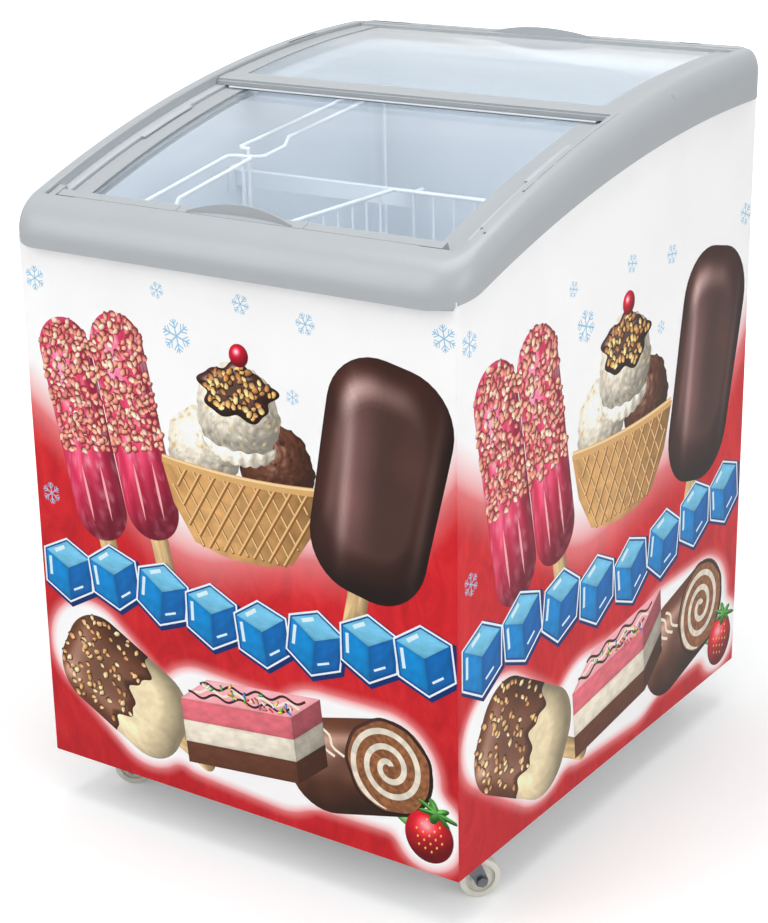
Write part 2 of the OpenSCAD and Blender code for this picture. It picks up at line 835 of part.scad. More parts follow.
module caster_bolts() {
    color(steel)
        for (i = [0 : 3], hx = [-1, 1], hy = [-1, 1])
            translate([spots[i][0] + hx * plate_hole / 2, spots[i][1] + hy * plate_hole / 2, head_z]) {
                translate([0, 0, -4])
                    cylinder(h = 4, r = 5, $fn = 6);
                cylinder(h = 4.5, r = 3);
            }
}

module fork(i) {
    top = head_z - 3 - 0.4;
    color([0.45, 0.47, 0.5])
        at_caster(i) {
            difference() {
                translate([0, 0, top - 3])
                    cylinder(h = 3, r = 19);
                translate([0, 0, top - 4])
                    cylinder(h = 6, r = 6);
            }
            for (s = [-1, 1])
                translate([s * 14.5 - 1.5, 0, 0])
                    rotate([90, 0, 90]) {
                        linear_extrude(3)
                            polygon([[-12, top - 1], [14, top - 1], [trail + 7.6, wheel_d / 2 + 2.6],
                                [trail - 3.2, wheel_d / 2 - 7.3]]);
                        translate([trail, wheel_d / 2, 0])
                            cylinder(h = 3, r = 8);
                    }
            translate([-17, trail, wheel_d / 2])
                rotate([0, 90, 0])
                    cylinder(h = 34, r = axle_d / 2);
            for (x = [-20.5, 16])
                translate([x, trail, wheel_d / 2])
                    rotate([0, 90, 0])
                        cylinder(h = 4.5, r = 6.4, $fn = 6);
        }
}

module wheel(i) {
    r = wheel_d / 2;
    w = wheel_w / 2;
    bore = axle_d / 2 + run_fit;
    color([0.9, 0.9, 0.86])
        at_caster(i)
            translate([0, trail, r])
                rotate([0, 90, 0])
                    rotate_extrude($fn = 96) {
                        translate([bore, -12.6])
                            square([7, 25.2]);
                        translate([bore, -5])
                            square([r - 2 - bore, 10]);
                        translate([r - 7, -w])
                            square([5, 2 * w]);
                        translate([r - 2.5, -w + 2])
                            square([2.5, 2 * w - 4]);
                        for (s = [-1, 1])
                            translate([r - 2, s * (w - 2)])
                                circle(r = 2, $fn = 24);
                    }
}

module fork_front_right() { fork(0); }
module fork_front_left() { fork(1); }
module fork_rear_right() { fork(2); }
module fork_rear_left() { fork(3); }
module wheel_front_right() { wheel(0); }
module wheel_front_left() { wheel(1); }
module wheel_rear_right() { wheel(2); }
module wheel_rear_left() { wheel(3); }

/* Cooling plant, in the machine compartment behind the rear grille */

comp_x = comp_in - cxo;
comp_y = mcy + mc_d / 2;
comp_z = floor_z + 22;
cond_x = cxo - cond_in;
cond_w = 76;
cond_h = 150;
cond_y0 = mcy + 26;
cond_y1 = panel_y - 26;
fan_z = floor_z + 92;
fan_y = (cond_y0 + cond_y1) / 2;
knob_x = cxo - knob_in;
knob_z = 270;
cord_z = 108;
drain_y = -200;
evap_y = tyr + liner_t + evap_r + 0.1;
evap_in_x = 20;
evap_out_x = 46;
evap_back = 14;
evap_n = 4;
evap_pitch = 62;
evap_z = step_z + 34;

module compressor() {
    color(dark)
        translate([comp_x, comp_y, comp_z]) {
            rotate_extrude($fn = 96)
                union() {
                    square([comp_r, comp_h]);
                    translate([0, comp_h])
                        intersection() {
                            translate([0, 28 - comp_r * 1.35])
                                circle(r = comp_r * 1.35, $fn = 120);
                            square([comp_r, 40]);
                        }
                    translate([comp_r - 1, comp_h * 0.55])
                        square([4, 5]);
                }
            difference() {
                block(-88, 88, -52, 52, 0, 3);
                for (x = [-78, 78], y = [-42, 42])
                    translate([x, y, -1])
                        cylinder(h = 6, r = 7);
            }
        }
}

module compressor_feet() {
    color(dark)
        for (x = [-78, 78], y = [-42, 42])
            translate([comp_x + x, comp_y + y, floor_z]) {
                cylinder(h = 22, r = 11);
                translate([0, 0, 21])
                    cylinder(h = 6, r = 6.9);
                translate([0, 0, 25])
                    cylinder(h = 3, r = 10);
            }
}

module terminal_cover() {
    color([0.25, 0.25, 0.28])
        difference() {
            block(comp_x + comp_r - 12, comp_x + comp_r + 26, comp_y - 26, comp_y + 26, comp_z + 10,
                comp_z + 50);
            translate([comp_x, comp_y, comp_z])
                cylinder(h = 80, r = comp_r + 0.1, $fn = 96);
        }
}

module condenser() {
    n = 6;
    color(copper) {
        for (i = [0 : n - 1], j = [0 : 1])
            translate([cond_x + 20 + j * 34, cond_y0, floor_z + 20 + i * 23])
                rotate([-90, 0, 0])
                    cylinder(h = cond_y1 - cond_y0, r = 4, $fn = 24);
        for (j = [0 : 1], i = [0 : n - 2])
            let (e = (i + j) % 2)
                translate([cond_x + 20 + j * 34, e == 0 ? cond_y1 : cond_y0, floor_z + 20 + (i + 0.5) * 23])
                    rotate([0, 90, 0])
                        rotate([0, 0, e == 0 ? 0 : 180])
                            rotate_extrude(angle = 180, $fn = 48)
                                translate([11.5, 0])
                                    circle(r = 4, $fn = 24);
    }
    color(steel)
        for (k = [0 : 17])
            let (y = lerp(cond_y0 + 4, cond_y1 - 4, k / 17), t = k == 0 || k == 17 ? 1.5 : 0.6)
                block(cond_x, cond_x + cond_w, y - t / 2, y + t / 2,
                    k == 0 || k == 17 ? floor_z : floor_z + 6,
                    floor_z + cond_h);
}

module fan_shroud() {
    color(steel)
        difference() {
            union() {
                block(cond_x - 2, cond_x, cond_y0 + 2, cond_y1 - 2, floor_z, floor_z + 176);
                block(cond_x - 22, cond_x, cond_y0 + 2, cond_y1 - 2, floor_z, floor_z + 2);
                translate([cond_x - 14, fan_y, fan_z])
                    rotate([0, 90, 0])
                        cylinder(h = 14, r = fan_r + 5, $fn = 96);
            }
            translate([cond_x - 20, fan_y, fan_z])
                rotate([0, 90, 0])
                    cylinder(h = 40, r = fan_r + 3, $fn = 96);
        }
}

module fan_stand() {
    color(steel)
        difference() {
            union() {
                block(cond_x - 78, cond_x - 76, fan_y - 24, fan_y + 24, floor_z, fan_z + 30);
                block(cond_x - 104, cond_x - 76, fan_y - 24, fan_y + 24, floor_z, floor_z + 2);
            }
            translate([cond_x - 80, fan_y, fan_z])
                rotate([0, 90, 0])
                    cylinder(h = 10, r = 12);
        }
}

module fan_motor() {
    color(dark)
        translate([cond_x - 76, fan_y, fan_z])
            rotate([0, 90, 0]) {
                cylinder(h = 40, r = 27);
                translate([0, 0, 40])
                    cylinder(h = 6, r = 10);
                cylinder(h = 70, r = shaft_d / 2);
                translate([0, 0, -4])
                    cylinder(h = 5, r = 11);
            }
}

module fan_blades() {
    color([0.3, 0.32, 0.35])
        translate([cond_x - 28, fan_y, fan_z])
            rotate([0, 90, 0])
                difference() {
                    union() {
                        cylinder(h = 20, r = 15);
                        intersection() {
                            for (k = [0 : 4])
                                rotate([0, 0, 72 * k])
                                    translate([12, 0, 10])
                                        rotate([32, 0, 0])
                                            block(0, fan_r, -19, 19, -1, 1);
                            cylinder(h = 40, r = fan_r, center = true, $fn = 96);
                        }
                        intersection() {
                            for (k = [0 : 4])
                                rotate([0, 0, 72 * k])
                                    translate([12, 0, 10])
                                        rotate([32, 0, 0])
                                            block(0, fan_r, -19, 19, -1, 1);
                            cylinder(h = 26, r = fan_r, $fn = 96);
                        }
                    }
                    translate([0, 0, -20])
                        cylinder(h = 60, r = shaft_d / 2 + run_fit);
                }
}

// serpentine of nearly closed loops round the tank, joined by risers on the rear wall
module evaporator_path(r) {
    gx = tx + liner_t + evap_r + 0.1;
    g0 = tyf - liner_t - evap_r - 0.1;
    g1 = evap_y;
    n = evap_n;
    pitch = evap_pitch;
    z0 = evap_z;
    z1 = z0 + (n - 1) * pitch;
    c = evap_turn;
    for (i = [0 : n - 1])
        let (z = z0 + i * pitch) {
            for (s = [-1, 1]) {
                rod([s * 20, g1, z], [s * (gx - c), g1, z], r);
                rod([s * gx, g1 - c, z], [s * gx, g0 + c, z], r);
                translate([s * 20, g1, z])
                    sphere(r = r, $fn = 24);
                translate([s * (gx - c), g1 - c, z])
                    rotate([0, 0, s == 1 ? 0 : 90])
                        rotate_extrude(angle = 90, $fn = 48)
                            translate([c, 0])
                                circle(r = r, $fn = 24);
                translate([s * (gx - c), g0 + c, z])
                    rotate([0, 0, s == 1 ? 270 : 180])
                        rotate_extrude(angle = 90, $fn = 48)
                            translate([c, 0])
                                circle(r = r, $fn = 24);
            }
            rod([-gx + c, g0, z], [gx - c, g0, z], r);
            if (i < n - 1)
                let (x = i % 2 == 0 ? -20 : 20)
                    rod([x, g1, z], [x, g1, z + pitch], r);
        }
    rod([evap_in_x, g1, z0], [evap_in_x, g1, mcz - 14], r);
    rod([20, g1, z1], [20, g1 + evap_back, z1], r);
    run([[20, g1 + evap_back, z1], [evap_out_x, g1 + evap_back, z1]], r);
    rod([evap_out_x, g1 + evap_back, z1], [evap_out_x, g1 + evap_back, mcz - 14], r);
}

module evaporator_tube() {
    color(copper)
        evaporator_path(evap_r);
}

module pipework() {
    color(copper) {
        run([[evap_out_x, evap_y + evap_back, mcz - 18.1], [evap_out_x, evap_y + evap_back, mcz - 40],
            [comp_x + 30, evap_y + evap_back, mcz - 40], [comp_x + 30, comp_y + 10, mcz - 40],
            [comp_x + 30, comp_y + 10, comp_z + comp_h + 10]], 4);
        run([[comp_x - 10, comp_y - 30, comp_z + comp_h + 10], [comp_x - 10, comp_y - 30, mcz - 22],
            [cond_x + 54, comp_y - 30, mcz - 22], [cond_x + 54, comp_y - 30, floor_z + cond_h + 4],
            [cond_x + 54, cond_y0, floor_z + cond_h + 4], [cond_x + 54, cond_y0, floor_z + 135]], 3);
    }
}

module filter_drier() {
    color(copper) {
        run([[cond_x + 20, cond_y0, floor_z + 135], [cond_x + 20, cond_y0, floor_z + 190],
            [cond_x - 20, cond_y0, floor_z + 190]], 3);
        translate([cond_x - 90, cond_y0, floor_z + 190])
            rotate([0, 90, 0])
                cylinder(h = 76, r = 10);
        run([[cond_x - 90, cond_y0, floor_z + 190], [cond_x - 100, cond_y0, floor_z + 190],
            [cond_x - 100, cond_y0, mcz - 3]], 1.5);
    }
}

module thermostat() {
    color([0.3, 0.3, 0.32]) {
        block(knob_x - 20, knob_x + 20, cyr - 34, cyr, knob_z - 16, knob_z + 16);
        translate([knob_x, cyr - 2, knob_z])
            rotate([-90, 0, 0])
                cylinder(h = 9.5, r = knob_shaft / 2);
    }
}

module thermostat_knob() {
    color(dark)
        translate([knob_x, cyr + 1.6, knob_z])
            rotate([-90, 0, 0])
                difference() {
                    union() {
                        cylinder(h = 3, r = knob_d / 2);
                        cylinder(h = 9.4, r = knob_d / 2 - 5);
                        block(-3, 3, -knob_d / 2 + 2, knob_d / 2 - 2, 2, 9.4);
                    }
                    translate([0, 0, -1])
                        cylinder(h = 8, r = knob_shaft / 2 + run_fit);
                }
}

module cord_gland() {
    color(dark)
        translate([-knob_x, cyr, cord_z])
            rotate([-90, 0, 0])
                difference() {
                    union() {
                        translate([0, 0, -12])
                            cylinder(h = 20, r = 8.8);
                        translate([0, 0, 1.3])
                            cylinder(h = 4, r = 12);
                        translate([0, 0, -5])
                            cylinder(h = 4.9, r = 12);
                    }
                    translate([0, 0, -20])
                        cylinder(h = 40, r = cord_bore / 2);
                }
}

module drain_tube() {
    color(white)
        translate([0, drain_y, 0])
            difference() {
                union() {
                    translate([0, 0, cab_z - spigot])
                        cylinder(h = spigot + 1, r = drain_d / 2 + 2.8);
                    translate([0, 0, cab_z])
                        cylinder(h = tz - cab_z, r = drain_d / 2 + 3);
                    translate([0, 0, tz])
                        cylinder(h = 1.5, r = drain_d / 2 + 8);
                }
                translate([0, 0, cab_z - 40])
                    cylinder(h = 200, r = drain_d / 2);
            }
}

module drain_plug() {
    color(dark)
        translate([0, drain_y, tz]) {
            translate([0, 0, -16])
                cylinder(h = 19, r = drain_d / 2 - run_fit);
            translate([0, 0, 1.5 + 0.3])
                cylinder(h = 4, r = drain_d / 2 + 5);
            translate([0, 0, 5])
                cylinder(h = 10, r = 4);
            translate([0, 0, 14])
                cylinder(h = 3, r = 8);
        }
}

module grille_screws() {
    color(steel)
        for (x = [-cxo + 12, cxo - 12], z = [pan_z + 20, mcz - 6])
            translate([x, cyr, z])
                rotate([-90, 0, 0]) {
                    translate([0, 0, -8])
                        cylinder(h = 9, r = 1.9);
                    translate([0, 0, 1.2])
                        cylinder(h = 2, r = 4);
                }
}

outer_shell();
rear_panel();
rear_grille();
insulation();
liner();
machine_bulkhead();
base_pan();
graphic_front();
graphic_right();
graphic_left();
top_frame();
track_frame();
end_stops();
front_glass();
front_bead_left();
front_bead_right();
front_bar();
front_handle();
front_tail_bar();
rear_glass();
rear_bead_left();
rear_bead_right();
rear_cross_bar();
cross_bar_brush();
rear_bar();
rear_handle();
basket_rim();
basket_floor();
basket_ends();
basket_sides();
cross_rail();
divider_front();
divider_rear();
caster_plates();
fork_front_right();
fork_front_left();
fork_rear_right();
fork_rear_left();
wheel_front_right();
wheel_front_left();
wheel_rear_right();
wheel_rear_left();
caster_bolts();
compressor();
compressor_feet();
terminal_cover();
condenser();
fan_shroud();
fan_motor();
fan_stand();
fan_blades();
evaporator_tube();
filter_drier();
pipework();
thermostat();
thermostat_knob();
cord_gland();
drain_tube();
drain_plug();
grille_screws();
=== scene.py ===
"""Bunker freezer dressed in Blender: materials for every CAD node, a finer lid frame, printed films and trim.
Metres in the CAD frame; the print is drawn in millimetres."""

import math

import bpy
import numpy as np
from mathutils import Matrix, Vector


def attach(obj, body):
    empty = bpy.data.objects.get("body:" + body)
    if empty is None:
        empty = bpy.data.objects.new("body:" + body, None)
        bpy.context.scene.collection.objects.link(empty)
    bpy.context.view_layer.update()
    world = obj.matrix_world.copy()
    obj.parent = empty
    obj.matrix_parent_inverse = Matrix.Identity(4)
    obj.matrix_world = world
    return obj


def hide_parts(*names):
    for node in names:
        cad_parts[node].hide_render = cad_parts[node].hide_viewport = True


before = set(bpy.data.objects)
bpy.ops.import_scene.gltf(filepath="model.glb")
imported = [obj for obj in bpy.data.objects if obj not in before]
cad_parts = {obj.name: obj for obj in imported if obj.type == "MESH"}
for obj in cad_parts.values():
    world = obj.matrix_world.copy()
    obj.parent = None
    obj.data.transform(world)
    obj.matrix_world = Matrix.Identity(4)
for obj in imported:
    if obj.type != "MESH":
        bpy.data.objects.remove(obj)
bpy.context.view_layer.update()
MM = 0.001

# sizes repeated from the CAD source, in millimetres
CAB_Z = 66
CXO, CYF, CYR = 305, -355, 357
FILM, FILM_GAP = 0.3, 0.6
ARC_R, ARC_Y, ARC_Z = 1850, 340, -940
YF, YR, FRAME_W = -369, 369, 634
RAIL_W, BAR_D, REAR_D = 28, 44, 24
CORNER_R, INNER_R, SEAT_DROP = 46, 3, 32
SKIRT_FRONT, SKIRT_MIDDLE, SKIRT_REAR = 38, 55, 60
SKIRT_PLAY_REAR, SKIRT_INNER_R = 1.6, 5
FILM_TOP_DROP = 38
# rounded edge of the lid frame, across and down: at the sides, added in front, taken off at the rear
ROUND_SIDE, ROUND_FRONT, ROUND_REAR = (19, 28), (10, 2), (4, 4)
INNER_EDGE = 1.5


def rgb(*c):
    return np.array(c, float) / 255


def linear(c):
    """Linear colours of sRGB 0..1 values."""
    c = np.clip(c, 0, 1)
    return np.where(c <= 0.04045, c / 12.92, ((c + 0.055) / 1.055) ** 2.4)


def srgb(*c):
    """Linear colour of sRGB 0..255 values."""
    return tuple(float(v) for v in linear(rgb(*c)))


def stack(*parts):
    return np.column_stack(parts)


def around(n):
    """n angles round a full circle."""
    return np.linspace(0, 2 * math.pi, n, endpoint=False)


def arc(y, r=ARC_R):
    """Height of the arc of radius r at depth y."""
    return ARC_Z + math.sqrt(r * r - (y - ARC_Y) ** 2)


# Materials


class Graph:
    """A node tree with short forms for the nodes used here; coord is its texture coordinate."""

    def __init__(self, tree, space):
        self.tree = tree
        self.coord = tree.nodes.new("ShaderNodeTexCoord").outputs[space]

    def node(self, kind, **values):
        """New node. Each value goes to the input of its name, or else to the node's own property."""
        n = self.tree.nodes.new(kind)
        for key, value in values.items():
            if key in n.inputs:
                n.inputs[key].default_value = value
            else:
                setattr(n, key, value)
        return n

    def link(self, a, b):
        self.tree.links.new(a, b)

    def put(self, value, socket):
        """Sets a number or a colour, or links an output."""
        if isinstance(value, (int, float)):
            socket.default_value = value
        elif isinstance(value, tuple):
            socket.default_value = (*value, 1)
        else:
            self.link(value, socket)

    def moved(self, **values):
        """The texture coordinate through a Mapping node."""
        n = self.node("ShaderNodeMapping", **values)
        self.link(self.coord, n.inputs["Vector"])
        return n.outputs[0]

    def axis(self, name):
        """X, Y or Z of the texture coordinate."""
        n = self.node("ShaderNodeSeparateXYZ")
        self.link(self.coord, n.inputs[0])
        return n.outputs[name]

    def length(self, vector):
        n = self.node("ShaderNodeVectorMath", operation="LENGTH")
        self.link(vector, n.inputs[0])
        return n.outputs["Value"]

    def math(self, operation, *values):
        n = self.node("ShaderNodeMath", operation=operation)
        for value, socket in zip(values, n.inputs):
            self.put(value, socket)
        return n.outputs[0]

    def map_range(self, fac, source, target=(0, 1), **values):
        """fac, with the pair source stretched to the pair target."""
        n = self.node("ShaderNodeMapRange", **values)
        for name, pair in (("From", source), ("To", target)):
            n.inputs[name + " Min"].default_value, n.inputs[name + " Max"].default_value = pair
        self.link(fac, n.inputs["Value"])
        return n.outputs[0]

    def noise(self, scale, detail=3.0, rough=0.5, stretch=(1, 1, 1), distort=0.0):
        n = self.node(
            "ShaderNodeTexNoise", Scale=scale, Detail=detail, Roughness=rough, Distortion=distort
        )
        self.link(self.moved(Scale=stretch), n.inputs["Vector"])
        return n.outputs["Fac"]

    def voronoi(self, scale, out="Color"):
        n = self.node("ShaderNodeTexVoronoi", Scale=scale)
        self.link(self.coord, n.inputs["Vector"])
        return n.outputs[out]

    def ramp(self, fac, stops):
        """stops are (place, value or colour)."""
        n = self.node("ShaderNodeValToRGB")
        e = n.color_ramp.elements
        while len(e) < len(stops):
            e.new(0.5)
        for i, (place, value) in enumerate(stops):
            e[i].position = place
            c = value if isinstance(value, tuple) else (value,) * 3
            e[i].color = (*c, 1)
        self.link(fac, n.inputs["Fac"])
        return n.outputs["Color"]

    def mix(self, a, b, fac, mode="MIX"):
        n = self.node("ShaderNodeMix", data_type="RGBA", blend_type=mode)
        for value, socket in ((fac, n.inputs[0]), (a, n.inputs[6]), (b, n.inputs[7])):
            self.put(value, socket)
        return n.outputs[2]

    def mix_shader(self, fac, a, b):
        n = self.node("ShaderNodeMixShader")
        for output, socket in zip((fac, a, b), n.inputs):
            self.link(output, socket)
        return n.outputs[0]


class Mat(Graph):
    """A Principled material; colour, rough and bump feed its shader."""

    def __init__(self, name, colour=(0.8, 0.8, 0.8), rough=0.5, **fixed):
        self.material = bpy.data.materials.new(name)
        self.material.use_nodes = True
        super().__init__(self.material.node_tree, "Object")
        self.shader = self.tree.nodes["Principled BSDF"]
        self.shader.inputs["Base Color"].default_value = (*colour, 1)
        self.shader.inputs["Roughness"].default_value = rough
        for key, value in fixed.items():
            self.shader.inputs[key.replace("_", " ")].default_value = value

    def colour(self, output):
        self.link(output, self.shader.inputs["Base Color"])

    def rough(self, fac, low, high):
        self.link(self.map_range(fac, (0, 1), (low, high)), self.shader.inputs["Roughness"])

    def bump(self, height, strength, distance):
        n = self.node("ShaderNodeBump", Strength=strength, Distance=distance)
        self.link(height, n.inputs["Height"])
        self.link(n.outputs[0], self.shader.inputs["Normal"])


def mottled(name, colour, spread, scale, rough, bump, **fixed):
    """A solid finish with slight colour variation and a fine surface grain."""
    m = Mat(name, colour, **fixed)
    dark = tuple(max(0, c * (1 - spread)) for c in colour)
    light = tuple(min(1, c * (1 + spread)) for c in colour)
    m.colour(m.ramp(m.noise(scale, 5), [(0.3, dark), (0.7, light)]))
    m.rough(m.noise(scale * 2.3, 4), *rough)
    m.bump(m.noise(bump[0], 2), bump[1], 0.0003)
    return m.material


def glass_base(name):
    m = Mat(name, srgb(249, 252, 254), rough=0.02, IOR=1.45, Transmission_Weight=1.0)
    m.bump(m.noise(3.5, 1), 0.03, 0.002)
    return m


def pass_shadows(m, path, surface):
    """Ends a glass: shadow rays pass it nearly clear, all others meet the surface."""
    clear = m.node("ShaderNodeBsdfTransparent", Color=(0.975, 0.99, 1.0, 1))
    both = m.mix_shader(path.outputs["Is Shadow Ray"], surface, clear.outputs[0])
    m.link(both, m.tree.nodes["Material Output"].inputs["Surface"])
    return m.material


def glass_material():
    m = glass_base("lid_glass")
    return pass_shadows(m, m.node("ShaderNodeLightPath"), m.shader.outputs[0])


# share, depths and streaks of the painted reflection on the rear glass: a lamp's reflection painted as pale
# streaks, seen by camera rays only
PAINTED_REFLECTION_SHARE = 0.5
PAINTED_REFLECTION_DEPTHS, PAINTED_REFLECTION_STREAKS = (0.03, 0.34), 0.4


def painted_reflection_glass_material():
    """The rear lid's glass: clear glass under a thin pale painted reflection, streaked bands of a lamp's
    reflection that whiten to the rear and show to camera rays only.
    """
    m = glass_base("rear_lid_glass")
    depth = m.map_range(m.axis("Y"), PAINTED_REFLECTION_DEPTHS, (0.0, 0.8))
    tone = m.math("MULTIPLY_ADD", m.noise(4, 2, 0.5, (0.7, 5, 1)), PAINTED_REFLECTION_STREAKS, depth)
    painted_reflection = m.node("ShaderNodeBsdfDiffuse")
    tones = [(0.1, srgb(170, 182, 192)), (0.6, srgb(186, 196, 204)), (0.95, srgb(214, 217, 219))]
    m.link(m.ramp(tone, tones), painted_reflection.inputs["Color"])
    path = m.node("ShaderNodeLightPath")
    seen = m.math("MULTIPLY", path.outputs["Is Camera Ray"], PAINTED_REFLECTION_SHARE)
    return pass_shadows(m, path, m.mix_shader(seen, m.shader.outputs[0], painted_reflection.outputs[0]))


# metres from the centre of the arc: the track frame is painted pale up to the first, painted light that lifts
# the shade on its inner wall below the glass, and grey from the second
TRACK_PAINTED_LIGHT_SPLIT = ((ARC_R - 24) * MM, (ARC_R - 22) * MM)


def track_material():
    """Track frame: grey above the glass; below it, painted pale like the tank as painted light that lifts the
    inner wall's shade, parted along the arc of the lids.
    """
    m = Mat("track_grey", srgb(190, 195, 199))
    radius = m.length(m.moved(Scale=(0, 1, 1), Location=(0, -ARC_Y * MM, -ARC_Z * MM)))
    grain = m.noise(20, 5)
    # low is painted light for the shaded inner wall below the glass, high is the frame's own grey
    low = m.ramp(grain, [(0.3, srgb(228, 234, 240)), (0.7, srgb(234, 240, 246))])
    high = m.ramp(grain, [(0.3, srgb(187, 192, 196)), (0.7, srgb(192, 197, 201))])
    m.colour(m.mix(low, high, m.map_range(radius, TRACK_PAINTED_LIGHT_SPLIT)))
    m.rough(m.noise(46, 4), 0.35, 0.5)
    m.bump(m.noise(900, 2), 0.16, 0.0003)
    return m.material


def galvanised():
    m = Mat("galvanised", srgb(176, 180, 184), Metallic=0.85)
    cells = m.voronoi(120)
    m.colour(m.mix(m.ramp(cells, [(0.2, 0.42), (0.8, 0.62)]), srgb(190, 194, 198), 0.45))
    m.rough(m.noise(60, 4), 0.32, 0.5)
    m.bump(m.noise(240, 3), 0.06, 0.0003)
    return m.material


def brush_material():
    m = Mat("brush_black", srgb(30, 30, 32))
    strands = m.noise(1500, 2, 0.6, (1, 0.05, 0.05))
    m.colour(m.ramp(strands, [(0.35, srgb(14, 14, 15)), (0.65, srgb(62, 62, 66))]))
    m.rough(strands, 0.6, 0.9)
    m.bump(strands, 0.8, 0.0008)
    return m.material


def foam_material():
    m = Mat("foam", srgb(224, 205, 150))
    m.colour(m.ramp(m.noise(60, 5), [(0.3, srgb(206, 184, 124)), (0.7, srgb(236, 220, 172))]))
    m.rough(m.noise(90, 3), 0.75, 0.95)
    m.bump(m.voronoi(400, "Distance"), 0.5, 0.001)
    return m.material


def copper_material():
    m = Mat("copper", srgb(190, 118, 82), Metallic=1.0)
    tones = [(0.3, srgb(140, 78, 52)), (0.55, srgb(196, 122, 84)), (0.8, srgb(222, 150, 108))]
    m.colour(m.ramp(m.noise(45, 6, 0.6), tones))
    m.rough(m.noise(80, 4), 0.24, 0.48)
    m.bump(m.noise(500, 2), 0.06, 0.0002)
    return m.material


def fin_material():
    """Condenser: dull aluminium with a slightly warm cast in patches."""
    m = Mat("condenser", srgb(200, 202, 204), Metallic=0.95)
    m.colour(m.ramp(m.noise(70, 4), [(0.3, srgb(150, 140, 130)), (0.7, srgb(206, 200, 194))]))
    m.rough(m.noise(120, 3), 0.3, 0.5)
    m.bump(m.noise(300, 2), 0.1, 0.0003)
    return m.material


white_paint = mottled("white_paint", srgb(236, 238, 240), 0.015, 12, (0.28, 0.4), (1400, 0.12))
liner_white = mottled("liner_white", srgb(224, 231, 239), 0.015, 9, (0.35, 0.5), (700, 0.12))
frame_grey = mottled("frame_grey", srgb(173, 178, 182), 0.012, 14, (0.24, 0.36), (1100, 0.14))
track_grey = track_material()
wire_white = mottled("wire_white", srgb(238, 243, 248), 0.005, 40, (0.18, 0.3), (600, 0.1))
fork_steel = mottled("fork_steel", srgb(120, 124, 130), 0.12, 60, (0.28, 0.45), (500, 0.15), Metallic=0.9)
nylon = mottled("wheel_nylon", srgb(226, 224, 214), 0.03, 40, (0.4, 0.55), (700, 0.15))
bolt_steel = mottled("bolt_steel", srgb(206, 208, 212), 0.06, 90, (0.18, 0.3), (600, 0.08), Metallic=1.0)
# dark grey: painted shade on the seam and slot strips, and the own colour of the dark rim tabs and plugs
painted_seam_shade_and_dark_trim = mottled("painted_seam_shade_and_dark_trim", srgb(96, 98, 102), 0.05, 40, (0.5, 0.6), (600, 0.1))
black_paint = mottled("black_paint", srgb(34, 34, 36), 0.15, 30, (0.25, 0.4), (800, 0.2))
black_plastic = mottled("black_plastic", srgb(42, 42, 45), 0.1, 30, (0.45, 0.6), (1000, 0.25))
rubber = mottled("rubber", srgb(30, 30, 31), 0.15, 40, (0.7, 0.85), (600, 0.3))
glass = glass_material()
painted_reflection_glass = painted_reflection_glass_material()
zinc = galvanised()
brush = brush_material()
foam = foam_material()
copper = copper_material()
fins = fin_material()

FINISH = {
    foam: "insulation",
    liner_white: "liner drain_tube cross_rail",
    zinc: "machine_bulkhead base_pan caster_plates fan_shroud fan_stand",
    frame_grey: "top_frame end_stops front_bead_left front_bead_right front_bar front_handle front_tail_bar "
    "rear_bead_left rear_bead_right rear_cross_bar rear_bar rear_handle",
    track_grey: "track_frame",
    glass: "front_glass",
    # the rear glass carries a painted reflection
    painted_reflection_glass: "rear_glass",
    brush: "cross_bar_brush",
    rubber: "compressor_feet cord_gland drain_plug",
    wire_white: "basket_rim basket_floor basket_ends basket_sides divider_front divider_rear",
    fork_steel: "fork_front_right fork_front_left fork_rear_right fork_rear_left",
    nylon: "wheel_front_right wheel_front_left wheel_rear_right wheel_rear_left",
    bolt_steel: "caster_bolts grille_screws",
    black_paint: "compressor fan_motor",
    black_plastic: "terminal_cover fan_blades thermostat thermostat_knob",
    copper: "evaporator_tube filter_drier pipework",
    fins: "condenser",
    white_paint: "outer_shell rear_panel rear_grille graphic_front graphic_right graphic_left",
}
for finish, names in FINISH.items():
    for name in names.split():
        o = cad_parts[name]
        o.data.materials.clear()
        o.data.materials.append(finish)


# Mesh helpers


def in_scene(name, data):
    o = bpy.data.objects.new(name, data)
    bpy.context.scene.collection.objects.link(o)
    return o


def new_object(name, verts, faces, mat, body, smooth=True):
    mesh = bpy.data.meshes.new(name)
    points = [tuple(float(c) for c in v) for v in verts]
    mesh.from_pydata(points, [], [tuple(int(i) for i in f) for f in faces])
    mesh.update()
    if smooth:
        mesh.polygons.foreach_set("use_smooth", [True] * len(mesh.polygons))
    mesh.materials.append(mat)
    o = in_scene(name, mesh)
    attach(o, body)
    return o


def lattice(columns, rows):
    """Faces between points that lie in rows, one row after the other."""
    return [
        (j * columns + i, j * columns + i + 1, (j + 1) * columns + i + 1, (j + 1) * columns + i)
        for j in range(rows - 1)
        for i in range(columns - 1)
    ]


def round_rect(w, a, b, r, s):
    """Point s (0..8) of a rounded rectangle: half width w, front a, rear b, corner radius r."""
    leg, t = int(s), s - int(s)
    c, n = math.cos(math.pi / 2 * t), math.sin(math.pi / 2 * t)
    return np.array(
        (
            (w, a + r + (b - a - 2 * r) * t),
            (w - r + r * c, b - r + r * n),
            ((w - r) * (1 - 2 * t), b),
            (r - w - r * n, b - r + r * c),
            (-w, b - r - (b - a - 2 * r) * t),
            (r - w - r * c, a + r - r * n),
            ((r - w) * (1 - 2 * t), a),
            (w - r + r * n, a + r - r * c),
        )[leg]
    )


def skirt_drop(y):
    t = (y - YF) / (YR - YF)
    ends = SKIRT_FRONT * (1 - t) * (1 - 2 * t) + SKIRT_REAR * t * (2 * t - 1)
    return ends + SKIRT_MIDDLE * 4 * t * (1 - t)


